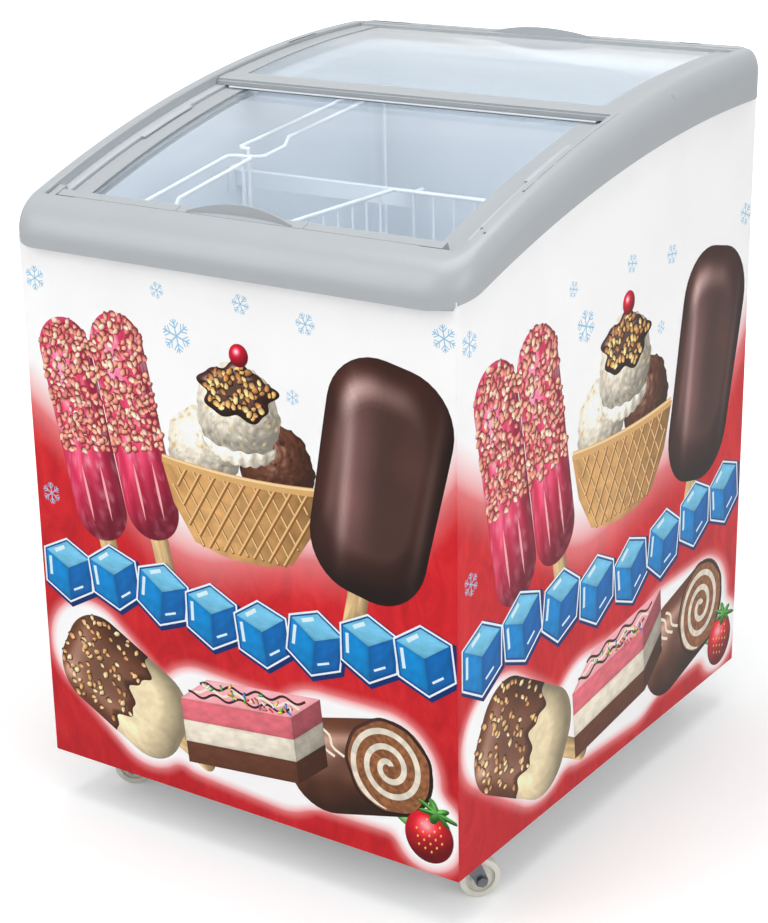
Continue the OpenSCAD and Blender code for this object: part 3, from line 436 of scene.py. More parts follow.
def frame_section(s, steps):
    """Section of the lid frame at station s, as in the CAD source with a finer round."""
    o = round_rect(FRAME_W / 2, YF, YR, CORNER_R, s)
    q = round_rect(FRAME_W / 2 - RAIL_W, YF + BAR_D, YR - REAR_D, INNER_R, s)
    c = round_rect(CXO + FILM_GAP, CYF - FILM_GAP, CYR + SKIRT_PLAY_REAR, SKIRT_INNER_R, s)
    front = max(0, min(1, s - 5, 8 - s)) if s > 5 else 0
    rear = max(0, min(1, s - 1, 4 - s)) if s < 4 else 0
    width = np.linalg.norm(q - o)
    across, drop = (
        side + more * front - less * rear for side, more, less in zip(ROUND_SIDE, ROUND_FRONT, ROUND_REAR)
    )
    bottom = arc(o[1]) - skirt_drop(o[1])
    pts = [(*o, bottom)]
    for j in range(steps + 1):
        a = math.pi / 2 * j / steps
        p = o + (q - o) * across * (1 - math.cos(a)) / width
        pts.append((*p, arc(p[1]) - drop * (1 - math.sin(a))))
    for k in ((across / width + 1) / 2, 1 - INNER_EDGE / width):
        p = o + (q - o) * k
        pts.append((*p, arc(p[1])))
    pts += [(*q, arc(q[1]) - INNER_EDGE), (*q, arc(q[1]) - SEAT_DROP)]
    return pts + [(*c, arc(c[1]) - SEAT_DROP), (*c, bottom)]


def lid_frame():
    """The lofted ring of top_frame with the same sections at more stations."""
    side, bar, turn, steps = 84, 12, 16, 14
    legs = (side, turn, bar, turn, side, turn, bar, turn)
    stations = [leg + i / n for leg, n in enumerate(legs) for i in range(n)]
    rings = [frame_section(s, steps) for s in stations]
    n, m = len(rings), len(rings[0])
    faces = [
        ((i + 1) % n * m + j, (i + 1) % n * m + (j + 1) % m, i * m + (j + 1) % m, i * m + j)
        for i in range(n)
        for j in range(m)
    ]
    points = np.array([p for r in rings for p in r]) * MM
    o = new_object("lid_frame", points, faces, frame_grey, "cabinet")
    o.data.set_sharp_from_angle(angle=math.radians(35))
    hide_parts("top_frame")


lid_frame()


def arc_strip(name, across, deep, radii, mat, body):
    """Bar along the arc between the two values of across, deep and radii, in millimetres."""
    n = 6
    (x0, x1), (r0, r1) = across, radii
    ring = [
        (x, y, arc(y, r))
        for y in np.linspace(*deep, n)
        for x, r in ((x0, r0), (x1, r0), (x1, r1), (x0, r1))
    ]
    faces = [(3, 2, 1, 0), tuple(4 * (n - 1) + k for k in range(4))]
    faces += [
        (4 * i + k, 4 * i + (k + 1) % 4, 4 * i + 4 + (k + 1) % 4, 4 * i + 4 + k)
        for i in range(n - 1)
        for k in range(4)
    ]
    new_object(name, np.array(ring) * MM, faces, mat, body, smooth=False)


# thin strips on the lids and the rim, in millimetres: from and to across, deep and in radius
BAR_FRONT, BAR_BACK = YF + BAR_D + 0.7, YF + BAR_D + 12
GAP_FILL_ACROSS, GAP_FILL_DEEP, GAP_FILL_RADII = (-240, 240), (BAR_FRONT - 0.5, BAR_FRONT + 0.1), (ARC_R - 7, ARC_R - 1)
HIGHLIGHT_LINE_ACROSS, HIGHLIGHT_LINE_DEEP, HIGHLIGHT_LINE_RADII = (-267, 267), (3.1, 4.1), (1836.8, 1838.4)
GRIP_HALF, SEAM_SHADE_HALF = 89, 0.4
SEAM_SHADE_DEEP, SEAM_SHADE_RADII = (BAR_FRONT + 0.6, BAR_BACK - 0.4), (ARC_R - 0.8, ARC_R - 0.52)
MARK_RADII = (ARC_R - 0.4, ARC_R + 0.12)

# pale grey strip in the gap before the front bar: painted light that hides the shade in the gap
arc_strip("front_gap_painted_light", GAP_FILL_ACROSS, GAP_FILL_DEEP, GAP_FILL_RADII, track_grey, "front_lid")
# white strip under the rear lid's cross bar: a painted highlight, the lit edge below the bar
arc_strip("cross_bar_painted_highlight", HIGHLIGHT_LINE_ACROSS, HIGHLIGHT_LINE_DEEP, HIGHLIGHT_LINE_RADII, wire_white, "rear_lid")
# dark strips at the ends of the front grip: painted shade of the grip insert's seams
for side, x in (("left", -GRIP_HALF), ("right", GRIP_HALF)):
    name, across = f"front_grip_seam_{side}", (x - SEAM_SHADE_HALF, x + SEAM_SHADE_HALF)
    arc_strip(name, across, SEAM_SHADE_DEEP, SEAM_SHADE_RADII, painted_seam_shade_and_dark_trim, "front_lid")

# marks on the rim, in millimetres: x from, x to, y from, y to; the slot and the seam are painted shade of a
# slot and a gap, the tabs and plugs are dark parts
RIM_MARKS = {
    "rear_rim_tab_left": (-281, -217, 347, 353.5),
    "rear_rim_tab_right": (199, 230, 347, 353.5),
    "left_rim_slot_shade": (-291, -289.4, 165, 226),
    "right_rim_seam_shade": (296.6, 297.2, -204, 2),
    "right_rim_plug_0": (294.8, 297.4, -208, -204.6),
    "right_rim_plug_1": (289.8, 292.2, -285, -282),
    "right_rim_plug_2": (297.6, 300.2, -292, -289),
}
for name, (x0, x1, y0, y1) in RIM_MARKS.items():
    arc_strip(name, (x0, x1), (y0, y1), MARK_RADII, painted_seam_shade_and_dark_trim, "cabinet")


# Print


HASH = (127.1, 311.7, 43758.5453)


def value_noise(p, size):
    """Smooth repeatable noise 0..1 at points p (N, 2), cells of that size, as a column (N, 1)."""
    q = np.asarray(p, float) / size
    i = np.floor(q)
    f = q - i
    f = f * f * (3 - 2 * f)

    def corner(dx, dy):
        spin = (i[:, 0] + dx) * HASH[0] + (i[:, 1] + dy) * HASH[1]
        return np.modf(np.abs(np.sin(spin) * HASH[2]))[0]

    fx, fy = f.T
    a = corner(0, 0) * (1 - fx) + corner(1, 0) * fx
    b = corner(0, 1) * (1 - fx) + corner(1, 1) * fx
    return (a * (1 - fy) + b * fy)[:, None]


LIGHT = np.array([-0.42, 0.55, 0.72])
LIGHT /= np.linalg.norm(LIGHT)
HALF = LIGHT + np.array([0, 0, 1])
HALF /= np.linalg.norm(HALF)


def lit(base, n2, gloss=0.0, power=30, soft=0.55):
    """Printed shading of a rounded form: base colour (3,) or (N, 3), n2 the sideways part of its normal."""
    n2 = np.clip(n2, -1, 1)
    nz = np.sqrt(np.clip(1 - (n2**2).sum(1), 0.02, 1))
    n = stack(n2, nz)
    d = np.clip(n @ LIGHT, 0, 1)[:, None]
    s = np.clip(n @ HALF, 0, 1)[:, None] ** power
    return np.asarray(base) * (soft + (1.12 - soft) * d) + gloss * s


def placed(points, seat):
    """Points of a motif on the panel. Its seat is its place, its turn in degrees and its size."""
    at, turn, size = seat
    a = math.radians(turn)
    r = np.array([[math.cos(a), math.sin(a)], [-math.sin(a), math.cos(a)]])
    return np.asarray(points) * size @ r + np.array(at)


def beside(seat, u, v):
    """An upright seat of the same size, u across and v up from this one."""
    (x, y), _, size = seat
    return (x + u * size, y + v * size), 0, size


class Print:
    """Collects coloured flat patches in panel millimetres: u across, v up, and a small layer depth."""

    def __init__(self):
        self.points, self.faces, self.colours, self.count = [], [], [], 0
        self.layer, self.lift = 0, 0
        self.rng = np.random.default_rng(7)

    def add(self, points, faces, colours, seat):
        q = placed(points, seat)
        self.points.append(stack(q, np.full(len(q), self.layer + self.lift)))
        self.faces += [[i + self.count for i in f] for f in faces]
        self.colours.append(np.broadcast_to(colours, (len(q), 3)))
        self.count += len(q)

    def patch(self, outline, colour, seat, rings, round_from=0.0, centre=None):
        """A star-shaped form. colour may be a function of its points and the sideways part of their normals,
        which lean from the share round_from of the way out."""
        o = np.asarray(outline, float)
        k = len(o)
        c = o.mean(0) if centre is None else np.asarray(centre, float)
        step = np.roll(o, -1, 0) - np.roll(o, 1, 0)
        out = stack(step[:, 1], -step[:, 0])
        out /= np.linalg.norm(out, axis=1)[:, None] + 1e-9
        if ((o - c) * out).sum() < 0:
            out = -out
        ts = 1 - (1 - np.linspace(0, 1, rings + 1)[1:]) ** 1.5
        p = np.vstack([[c]] + [c + (o - c) * t for t in ts])
        t = np.concatenate([[0], np.repeat(ts, k)])
        lean = np.clip((t - round_from) / (1 - round_from), 0, 1)
        n2 = np.vstack([[[0, 0]], np.tile(out, (rings, 1))]) * lean[:, None] * 0.97
        faces = [[0, 1 + i, 1 + (i + 1) % k] for i in range(k)]
        for j in range(rings - 1):
            a, b = 1 + j * k, 1 + (j + 1) * k
            faces += [[a + i, b + i, b + (i + 1) % k, a + (i + 1) % k] for i in range(k)]
        self.add(p, faces, colour(p, n2) if callable(colour) else colour, seat)

    def stroke(self, pts, width, colour, seat):
        p = np.asarray(pts, float)
        d = np.gradient(p, axis=0)
        side = stack(-d[:, 1], d[:, 0])
        side /= np.linalg.norm(side, axis=1)[:, None] + 1e-9
        w = np.broadcast_to(width, len(p))[:, None] / 2
        q = np.vstack([p + side * w, p - side * w])
        n = len(p)
        faces = [[i + 1, i, n + i, n + i + 1] for i in range(n - 1)]
        c = np.asarray(colour)
        if c.ndim == 2:
            c = np.vstack([c, c])
        self.add(q, faces, c, seat)

    def band(self, low, high, colour, seat, rows):
        """Strip between two lines of as many points. colour(points, s) has s from 0 at low to 1 at high."""
        k = len(low)
        s = np.repeat(np.linspace(0, 1, rows), k)
        p = np.vstack([low + (high - low) * v for v in np.linspace(0, 1, rows)])
        self.add(p, lattice(k, rows), colour(p, s), seat)

    def up(self, n=1):
        self.layer += n


def round_box(w, h, r, n=10):
    """Outline of a rounded rectangle centred on 0, with evenly spread points."""
    pts = []
    for cx, cy, a0 in ((w - r, h - r, 0), (r - w, h - r, 90), (r - w, r - h, 180), (w - r, r - h, 270)):
        for i in range(n):
            a = math.radians(a0 + 90 * i / (n - 1))
            pts.append((cx + r * math.cos(a), cy + r * math.sin(a)))
    p = np.array(pts)
    dense = []
    for a, b in zip(p, np.roll(p, -1, 0)):
        m = max(1, int(np.linalg.norm(b - a) / (max(w, h) / 12)))
        dense += [a + (b - a) * i / m for i in range(m)]
    return np.array(dense)


def circle(r, n=40, bumps=()):
    """Circle whose radius is waved by (count, height, phase) bumps."""
    a = around(n)
    k = np.full(n, 1.0)
    for count, height, phase in bumps:
        k += height * np.sin(count * a + phase)
    return stack(np.cos(a), np.sin(a)) * (r * k)[:, None]


def divided(corners, parts):
    """Closed outline with each side cut into equal parts."""
    steps = np.arange(parts)[:, None] / parts
    return np.vstack([a + (b - a) * steps for a, b in zip(corners, np.roll(corners, -1, 0))])


def grainy(colour, p, size, low=0.85, spread=0.3):
    """A colour times low to low + spread over the points p, in cells of that size."""
    return colour * (low + spread * value_noise(p, size))


CHOC = rgb(62, 34, 28)
MILK = rgb(104, 60, 40)
PINK = rgb(236, 116, 128)
ROSE = rgb(214, 38, 78)
CREAM = rgb(250, 240, 220)
VANILLA = rgb(246, 226, 182)
TAN = rgb(214, 160, 96)
CRUST = (rgb(232, 158, 128), rgb(244, 190, 160), rgb(206, 104, 92), rgb(226, 134, 110))
NUTS = (rgb(220, 160, 84), rgb(240, 196, 120), rgb(176, 112, 50))
DEEP = rgb(10, 44, 108)


def stick(art, seat, x=0.0, y0=-150.0, y1=-60.0):
    def wood(p, n2):
        return lit(grainy(rgb(226, 190, 134), p * [1, 0.12], 2.2, 0.86, 0.22), n2 * 0.8, 0.1, 12)

    art.patch(round_box(11, (y1 - y0) / 2, 10.5) + [x, (y0 + y1) / 2], wood, seat, 8, 0.3)


def sprinkle(art, at, area, count, size, colours):
    """Little coloured rods strewn over an ellipse."""
    rod = round_box(3.5, 1.5, 1.45, 4)
    for i in range(count):
        a, r = art.rng.uniform(0, 2 * math.pi), math.sqrt(art.rng.uniform(0, 1))
        p = (at[0] + area[0] * r * math.cos(a), at[1] + area[1] * r * math.sin(a))
        c = colours[i % len(colours)]
        art.lift = 0.15 * i
        art.patch(rod, lambda q, n: lit(c, n, 0.5, 12), (p, art.rng.uniform(0, 180), size), 2)
    art.lift = 0
    art.up(0.15 * count)


def inside(o, p):
    """Whether p lies in the outline o."""
    x, y = o[:, 0], o[:, 1]
    x2, y2 = np.roll(x, -1), np.roll(y, -1)
    cross = ((y > p[1]) != (y2 > p[1])) & (p[0] < (x2 - x) * (p[1] - y) / (y2 - y + 1e-12) + x)
    return cross.sum() % 2 == 1


def nuts(art, outline, seat, count, colours, r, shade):
    """Chopped nuts strewn inside an outline, each on its shadow. Nuts that touch lie on other levels."""
    lo, hi = outline.min(0), outline.max(0)
    strewn = []
    tries = 0
    while len(strewn) < count and tries < count * 12:
        tries += 1
        p = art.rng.uniform(lo, hi)
        near = [(q, level) for q, level in strewn if np.hypot(*(q - p)) < 2.8 * r]
        if not inside(outline, p) or any(np.hypot(*(q - p)) < 1.05 * r for q, level in near):
            continue
        used = {level for q, level in near}
        level = next(k for k in range(99) if k not in used)
        strewn.append((p, level))
        c = colours[art.rng.integers(len(colours))] * art.rng.uniform(0.85, 1.1)
        long, angle = r * art.rng.uniform(0.8, 1.25), art.rng.uniform(0, 180)
        corners = np.radians(np.arange(7) * 360 / 7 + art.rng.uniform(-16, 16, 7))
        reach = long * art.rng.uniform(0.86, 1.1, 7)
        shape = stack(np.cos(corners), 0.72 * np.sin(corners)) * reach[:, None]
        spot = placed(p, seat), angle, seat[2]
        art.lift = 0.3 * level
        art.patch(shape * 1.16 + [0.5, -0.7], shade, spot, 1)
        art.lift = 0.3 * level + 0.15
        art.patch(shape, lambda q, n: lit(c, n * 0.8, 0.3, 9, 0.62), spot, 3, 0.35)
    art.lift = 0
    art.up(3)


def choc_lolly(art, seat):
    stick(art, seat)
    art.up()
    body = round_box(62, 108, 50)
    body[:, 0] *= 1 + 0.035 * np.tanh(body[:, 1] / 60)

    def coat(p, n2):
        c = lit(grainy(CHOC, p, 26, 0.9), n2, 0.42, 22, 0.5)
        long = np.exp(-((p[:, 1] / 78) ** 4))
        soft = np.exp(-(((p[:, 0] + 24 + 0.1 * p[:, 1]) / 17) ** 2)) * long
        sheen = np.exp(-(((p[:, 0] + 33 + 0.1 * p[:, 1]) / 6) ** 2)) * long
        rim = np.exp(-(((p[:, 0] - 49) / 5) ** 2)) * long
        return c + soft[:, None] * rgb(40, 31, 34) + (0.24 * sheen + 0.12 * rim)[:, None]

    art.patch(body, coat, seat, 22, 0.62)


def twin_pop(art, seat):
    for s in (-1, 1):
        stick(art, seat, 34 * s, -158, -80)
    art.up()
    for s in (-1, 1):
        body = round_box(33, 112, 32) + [33.5 * s, 0]

        def ice(p, n2):
            k = np.clip((p[:, 1] + 100) / 210, 0, 1)[:, None]
            frost = np.clip((value_noise(p, 5) - 0.6) * 3, 0, 1) * (0.25 + 0.6 * k)
            rib = 0.05 * np.cos((p[:, 0] - 33.5 * s) * 0.42)[:, None]
            c = ROSE * (1 - k) + rgb(222, 62, 104) * k
            return lit(c + rib, n2, 0.4, 18, 0.55) * (1 - frost) + frost * rgb(255, 236, 238)

        art.patch(body, ice, seat, 20, 0.3, centre=(33.5 * s, 0))
        art.up()
        middle = [33.5 * s, 40]
        crust = (body[body[:, 1] > -28] - middle) * 0.97 + middle
        nuts(art, crust, seat, 190, CRUST, 3.9, rgb(150, 34, 60))
    for x in (-46, -22, 22, 46):
        y = np.linspace(-92, -34, 14)
        w = 3.2 * np.sin(np.linspace(0.05, math.pi - 0.05, 14))
        art.stroke(stack(np.full(14, x), y), w, rgb(250, 176, 184), seat)
    art.up()


def rough_slope(p, k):
    """Sideways tilt of a softly lumpy surface at points p, times k."""

    def height(q):
        return value_noise(q + 70, 7) + 0.5 * value_noise(q, 3.2)

    return stack(*((height(p) - height(p + d)) * 3 * k for d in ((1, 0), (0, 1))))


def scoop(art, seat, r, colour, speck, gloss=0.15):
    edge = circle(r, 72, ((17, 0.02, 1), (7, 0.025, 2), (29, 0.012, 0.4)))

    def cream(p, n2):
        g = value_noise(p * [1, 1.8], 6) * 0.7 + value_noise(p, 2.4) * 0.3
        c = lit(colour * (0.9 + 0.16 * g), p / r * 0.95 + rough_slope(p, 0.5), gloss, 14, 0.58)
        s = np.clip((value_noise(p + 90, 3.2) - 0.8) * 9, 0, 1)
        return c * (1 - s) + speck * s

    art.patch(edge, cream, seat, 20)
    x = np.linspace(-1, 1, 61)
    round_off = np.sqrt(np.clip(1 - x**2, 0, 1))
    low = stack(x * r * 0.9, r * (-0.56 - 0.46 * round_off - 0.045 * np.abs(np.sin(x * 11))))
    high = stack(x * r * 0.88, r * (-0.5 - 0.26 * round_off + 0.02 * np.sin(x * 15 + 1)))
    art.up(0.5)

    def ruffle(p, s):
        n2 = stack(p[:, 0] / r * 0.8 + 0.25 * np.sin(p[:, 0] / r * 22), 0.9 * (s - 0.45))
        return lit(grainy(colour, p, 4, 0.92, 0.14), n2 + rough_slope(p, 0.4), gloss, 10, 0.6)

    art.band(low, high, ruffle, seat, 9)


def waffle_bowl(art, seat):
    scoop(art, beside(seat, -46, 40), 46, CREAM, rgb(230, 190, 120))
    scoop(art, beside(seat, 46, 38), 46, MILK, CHOC, 0.3)
    art.up()
    top = beside(seat, 0, 86)
    scoop(art, top, 52, CREAM, rgb(236, 206, 150), 0.2)
    art.up()
    a = around(90)
    drip = 46 + 5 * np.sin(5 * a + 0.4) + 3 * np.sin(9 * a)
    sauce = stack(np.cos(a) * drip, np.sin(a) * drip * 0.62 + 22)

    def poured(p, n2):
        return lit(grainy(CHOC, p, 14, 1.0, 0.25), n2, 0.6, 20, 0.55)

    art.patch(sauce, poured, top, 14, 0.55, centre=(0, 24))
    art.up()
    nuts(art, sauce * 0.86 + [0, 4], top, 60, NUTS, 4.2, rgb(30, 16, 12))
    art.patch(circle(12, 24), lambda p, n: lit(rgb(206, 20, 44), n, 0.9, 26), beside(seat, 4, 146), 8)
    bowl = np.array([(-102, 22), (-50, 14), (0, 11), (50, 14), (102, 22), (88, -24), (62, -62), (30, -70),
                     (0, -72), (-30, -70), (-62, -62), (-88, -24)])

    def crust(p, n2):
        x = p[:, 0] / 110
        return lit(grainy(TAN, p, 8, 0.86, 0.24), stack(x * 0.75, -0.1 + 0 * x), 0.12, 8, 0.6)

    art.patch(divided(bowl, 5), crust, seat, 12, centre=(0, -24))
    art.up(0.5)
    for k in range(-7, 8):
        for s in (-1, 1):
            v = np.linspace(-64, 16, 9)
            x = k * 19 + s * (v + 24) * 0.62
            keep = np.abs(x) < 60 + (v + 64) * 0.48
            if keep.sum() > 2:
                x, v = x[keep], v[keep]
                art.lift = 0.15 * (s + 1)
                art.stroke(stack(x + 1.2, v - 1.2), 3.4, rgb(150, 96, 46), seat)
                art.lift += 0.15
                art.stroke(stack(x, v), 2.0, rgb(240, 200, 140), seat)
    art.lift = 0
    art.up(2)
    rim = stack(np.linspace(-101, 101, 24), 16 + 6 * np.linspace(-1, 1, 24) ** 2)
    art.stroke(rim, 9, rgb(226, 176, 112), seat)
    art.up(0.2)
    art.stroke(rim + [0, 2.5], 2.5, rgb(250, 220, 168), seat)
    art.up()


def block_slice(art, seat):
    """Three-flavour block in perspective: three stripes on the front, and its top and end."""
    w, h, dx, dy = 168, 84, 46, 30
    x0, x1 = -w / 2, w / 2
    for i, c in enumerate((MILK, CREAM, PINK)):
        y0, y1 = -h / 2 + i * h / 3, -h / 2 + (i + 1) * h / 3
        grid(art, (x0, y0), (x1, y0), (x1, y1), (x0, y1), c, seat, 0.98)
        end = (x1, y0), (x1 + dx, y0 + dy), (x1 + dx, y1 + dy), (x1, y1)
        grid(art, *end, c * 0.8, seat, 0.85)
    top = (x0, h / 2), (x1, h / 2), (x1 + dx, h / 2 + dy), (x0 + dx, h / 2 + dy)
    grid(art, *top, rgb(250, 170, 178), seat, 1.06)
    art.up(0.5)
    for k, c in enumerate((CHOC, CREAM, CHOC)):
        y = h / 2 + 8 + 7 * k
        x = np.linspace(-w / 2 + 14 + 10 * k, w / 2 + 4 + 10 * k, 40)
        art.stroke(stack(x, y + 3.5 * np.sin(x * 0.16 + k)), 3.2, c, seat)
    art.up()


def swiss_roll(art, seat):
    """Coated chocolate roll: the body behind, then the cut sponge face with its cream spiral."""
    r = 60

    def coat(p, n2):
        sheen = np.exp(-(((p[:, 1] - 34) / 8) ** 2))[:, None]
        return lit(grainy(MILK, p, 20, 0.8), n2 * [0.5, 1], 0.3, 16, 0.5) + 0.2 * sheen

    art.patch(round_box(104, r, r - 2) + [-44, 0], coat, seat, 16, 0.2)
    art.up()
    face = circle(r, 72, ((9, 0.012, 0.3), (5, 0.012, 1)))
    art.patch(face, lambda p, n: lit(CHOC, n, 0.3, 12, 0.6), seat, 6, 0.7)
    art.up(0.4)

    def sponge(p, n2):
        return grainy(rgb(150, 96, 60), p, 3.2, 0.72, 0.5)

    art.patch(face * 0.93, sponge, seat, 20)
    art.up(0.4)
    a = np.linspace(0.5, 5.4 * math.pi, 200)
    rad = 3 + r * 0.84 * a / a[-1]
    way = stack(np.cos(a) * rad, np.sin(a) * rad)
    width = 7.5 * np.minimum(1, (a[-1] - a) / 0.8 + 0.15)
    art.stroke(way, width, grainy(CREAM, way, 5, 0.86, 0.16), seat)
    art.up(0.4)
    for k in range(4):
        x = -127 + 14 * k
        line = np.linspace((x, 48), (x + 22, 12), 9)
        line[:, 0] += 4 * np.sin(line[:, 1] * 0.2)
        art.stroke(line, 3.6, CREAM, seat)
    art.up()


def grid(art, a, b, c, d, colour, seat, light=1.0, n=24):
    """Face with the corners a, b, c, d, mottled, with a soft gradient and darker edges."""
    a, b, c, d = (np.array(q, float) for q in (a, b, c, d))
    s, t = np.meshgrid(np.linspace(0, 1, n), np.linspace(0, 1, n))
    s, t = s.ravel()[:, None], t.ravel()[:, None]
    p = (a * (1 - s) + b * s) * (1 - t) + (d * (1 - s) + c * s) * t
    g = value_noise(p, 7) * 0.6 + value_noise(p, 3) * 0.4
    wide, high = np.linalg.norm(b - a), np.linalg.norm(d - a)
    inward = np.minimum(np.minimum(s, 1 - s) * wide, np.minimum(t, 1 - t) * high)
    col = colour * light * (0.9 + 0.2 * g + 0.08 * t - 0.06 * s - 0.1 * np.exp(-inward / 2.5))
    art.add(p, lattice(n, n), col, seat)


def dipped_lolly(art, seat):
    stick(art, seat, 0, -142, -66)
    art.up()
    body = round_box(58, 92, 46)

    def ice(p, n2):
        return lit(grainy(VANILLA, p, 5, 0.92, 0.12), n2, 0.2, 14, 0.6)

    art.patch(body, ice, seat, 18, 0.55)
    art.up()
    x = np.sin(np.linspace(-math.pi / 2, math.pi / 2, 70))
    drip = stack(x * 58.6, -16 + 8 * np.sin(x * 7 + 0.6) + 3.5 * np.sin(x * 17))
    over = np.clip((np.abs(x) * 58.6 - 12) / 46.6, 0, 1)
    top = stack(x * 58.6, 46.6 + 46 * np.sqrt(1 - over**2))

    def coat(p, s):
        lip = np.clip(1 - s * 9, 0, 1)
        n2 = stack((p[:, 0] / 59) ** 3, np.clip((p[:, 1] - 46) / 48, 0, 1) ** 2 - 0.75 * lip)
        return lit(grainy(MILK, p, 18, 0.92, 0.22), n2, 0.45, 20, 0.55)

    art.band(drip, top, coat, seat, 40)
    art.up(0.3)
    dip = np.vstack([drip, top[::-1]]) * [0.95, 0.96] + [0, 2]
    nuts(art, dip, seat, 80, (TAN, rgb(236, 196, 138), rgb(190, 130, 70)), 3.9, rgb(52, 28, 20))


def strawberry(art, seat):
    a = around(48)
    r = 34 * (1 - 0.22 * np.sin(a) + 0.05 * np.cos(2 * a))
    out = stack(np.cos(a) * r, np.sin(a) * r * 1.12)
    red, seed = rgb(214, 22, 40), circle(1.9, 10) * [0.7, 1]
    art.patch(out, lambda p, n: lit(grainy(red, p, 9, 0.92, 0.16), n, 0.6, 18, 0.5), seat, 14)
    art.up(0.5)
    for j in range(-3, 4):
        for i in range(-3, 4):
            p = np.array([i * 10 + (j % 2) * 5, j * 10 - 6], float)
            if np.hypot(p[0] / 27, (p[1] + 5) / 33) < 0.9:
                art.patch(seed, rgb(246, 206, 92), (placed(p, seat), *seat[1:]), 1)
    art.up(0.5)
    leaf = circle(24, 60, ((7, 0.34, 0.3), (3, 0.1, 1))) * [1, 0.52] + [0, 30]
    green = rgb(70, 150, 52)
    art.patch(leaf, lambda p, n: lit(grainy(green, p, 5), n, 0.2, 10), seat, 8, centre=(0, 30))
    art.up(0.5)


def mint(art, seat):
    a = np.linspace(0, math.pi, 20)
    half = stack(40 * np.cos(a), 14 * np.sin(a) ** 0.9)
    leaf = np.vstack([half, half[::-1][1:-1] * [1, -1]])
    green, vein = rgb(74, 160, 66), rgb(150, 200, 110)
    art.patch(leaf, lambda p, n: lit(grainy(green, p, 6), n, 0.3, 10), seat, 8, 0.3)
    art.up(0.3)
    x = np.linspace(-36, 34, 8)
    art.stroke(stack(x, 0 * x), 1.6, rgb(170, 214, 130), seat)
    for s in (-1, 1):
        for k in range(5):
            x0 = -26 + k * 12
            art.stroke([(x0, 0), (x0 + 6, s * 6), (x0 + 10, s * 9)], 0.9, vein, seat)
    art.up(0.3)


def snowflake(art, at, r, colour, turn=0):
    for k in range(6):
        a = turn + 60 * k
        art.lift = 0.15 * k
        art.stroke([(0, 0), (0, r * 0.5), (0, r)], r * 0.09, colour, (at, a, 1))
        art.lift = 1.05
        for f in (0.45, 0.72):
            for s in (-1, 1):
                d = r * 0.26 * (1.25 - f)
                branch = [(0, r * f), (s * d, r * f + d), (s * d * 1.6, r * f + d * 1.6)]
                art.stroke(branch, r * 0.07, colour, (at, a, 1))
                art.lift += 0.15
    art.lift = 0


def ice_cube(art, seat):
    hexa = np.array([(0, 34), (31, 19), (31, -17), (0, -34), (-31, -17), (-31, 19)])
    edge = divided(hexa, 6)
    art.patch(edge * 1.2 + [2.5, -2.5], DEEP, seat, 2)
    art.up(0.4)
    art.patch(edge * 1.13, rgb(236, 248, 255), seat, 2)
    art.up(0.4)
    art.patch(edge * 1.06, rgb(12, 74, 150), seat, 2)
    art.up(0.4)
    mid = (0, 3)
    grid(art, hexa[5], mid, hexa[1], hexa[0], rgb(120, 204, 240), seat, 1.0, 8)
    grid(art, hexa[4], hexa[3], mid, hexa[5], rgb(0, 138, 212), seat, 1.0, 8)
    grid(art, hexa[3], hexa[2], hexa[1], mid, rgb(0, 104, 180), seat, 1.0, 8)
    art.up(0.4)
    for p0, p1, w in (((-26, 12), (-26, -10), 4), ((-18, 20), (-4, 27), 4.5), ((6, -22), (20, -15), 2.5)):
        art.stroke(np.linspace(p0, p1, 4), w, rgb(222, 246, 255), seat)
    art.up(0.4)


PLAN = (  # motif, place across and up the front panel in millimetres, turn, size
    (twin_pop, (-182, 520), 12, 1.24),
    (waffle_bowl, (14, 474), 0, 1.14),
    (choc_lolly, (204, 524), -12, 1.3),
    (dipped_lolly, (-182, 184), 62, 1.1),
    (swiss_roll, (212, 184), 14, 1.0),
    (block_slice, (-4, 160), 6, 1.0),
    (strawberry, (268, 119), -18, 0.9),
)


SNOW = (  # place across and up, radius, turn
    (-284, 690, 15, 0), (-70, 650, 20, 12), (112, 690, 13, 25), (290, 700, 15, 8),
    (-282, 420, 14, 5), (92, 604, 9, 0), (-96, 700, 10, 14), (24, 700, 12, 20),
)
SNOW_BLUE = rgb(150, 204, 236)
MINT_U, MINT_V, MINT_TURN = 236, 133, 150
BRIGHT = [rgb(*c) for c in (
    (250, 206, 40), (60, 170, 70), (40, 120, 210), (236, 110, 30), (220, 40, 60), (250, 250, 250)
)]
STREWN, STREWN_SIZE, STREWN_U, STREWN_V, STREWN_AREA = 34, 1.1, 14, 219, (70, 9)
CUBES, CUBE_PITCH, CUBE_SIZE = 8, 75, 1.12
CUBE_V, CUBE_WAVE, CUBE_TILT = 318, 11, 9


def compose(art, stretch):
    """Draws the whole design, spread sideways by stretch; the motifs grow by half of that."""
    grown = 1 + (stretch - 1) * 0.5
    for x, y, r, turn in SNOW:
        snowflake(art, (x * stretch, y), r, SNOW_BLUE, turn)
    art.up(2)
    mint(art, ((MINT_U * stretch, MINT_V), MINT_TURN, 1))
    for motif, (u, v), turn, size in PLAN:
        motif(art, ((u * stretch, v), turn, size * grown))
        art.up(0.5)
    sprinkle(art, (STREWN_U * stretch, STREWN_V), STREWN_AREA, STREWN, STREWN_SIZE, BRIGHT)
    art.up(0.5)
    for k in range(CUBES):
        x = CUBE_PITCH * (k - (CUBES - 1) / 2)
        y = CUBE_V + CUBE_WAVE * math.sin(k * 1.1 + 0.4)
        ice_cube(art, ((x * stretch, y), CUBE_TILT * math.sin(k * 2.1), CUBE_SIZE * grown))


def film_top(y):
    """Height of the films' upper edge at depth y, under the skirt of the lid frame."""
    return arc(y, ARC_R - FILM_TOP_DROP)


def soft_step(x):
    x = np.clip(x, 0, 1)
    return x * x * (3 - 2 * x)


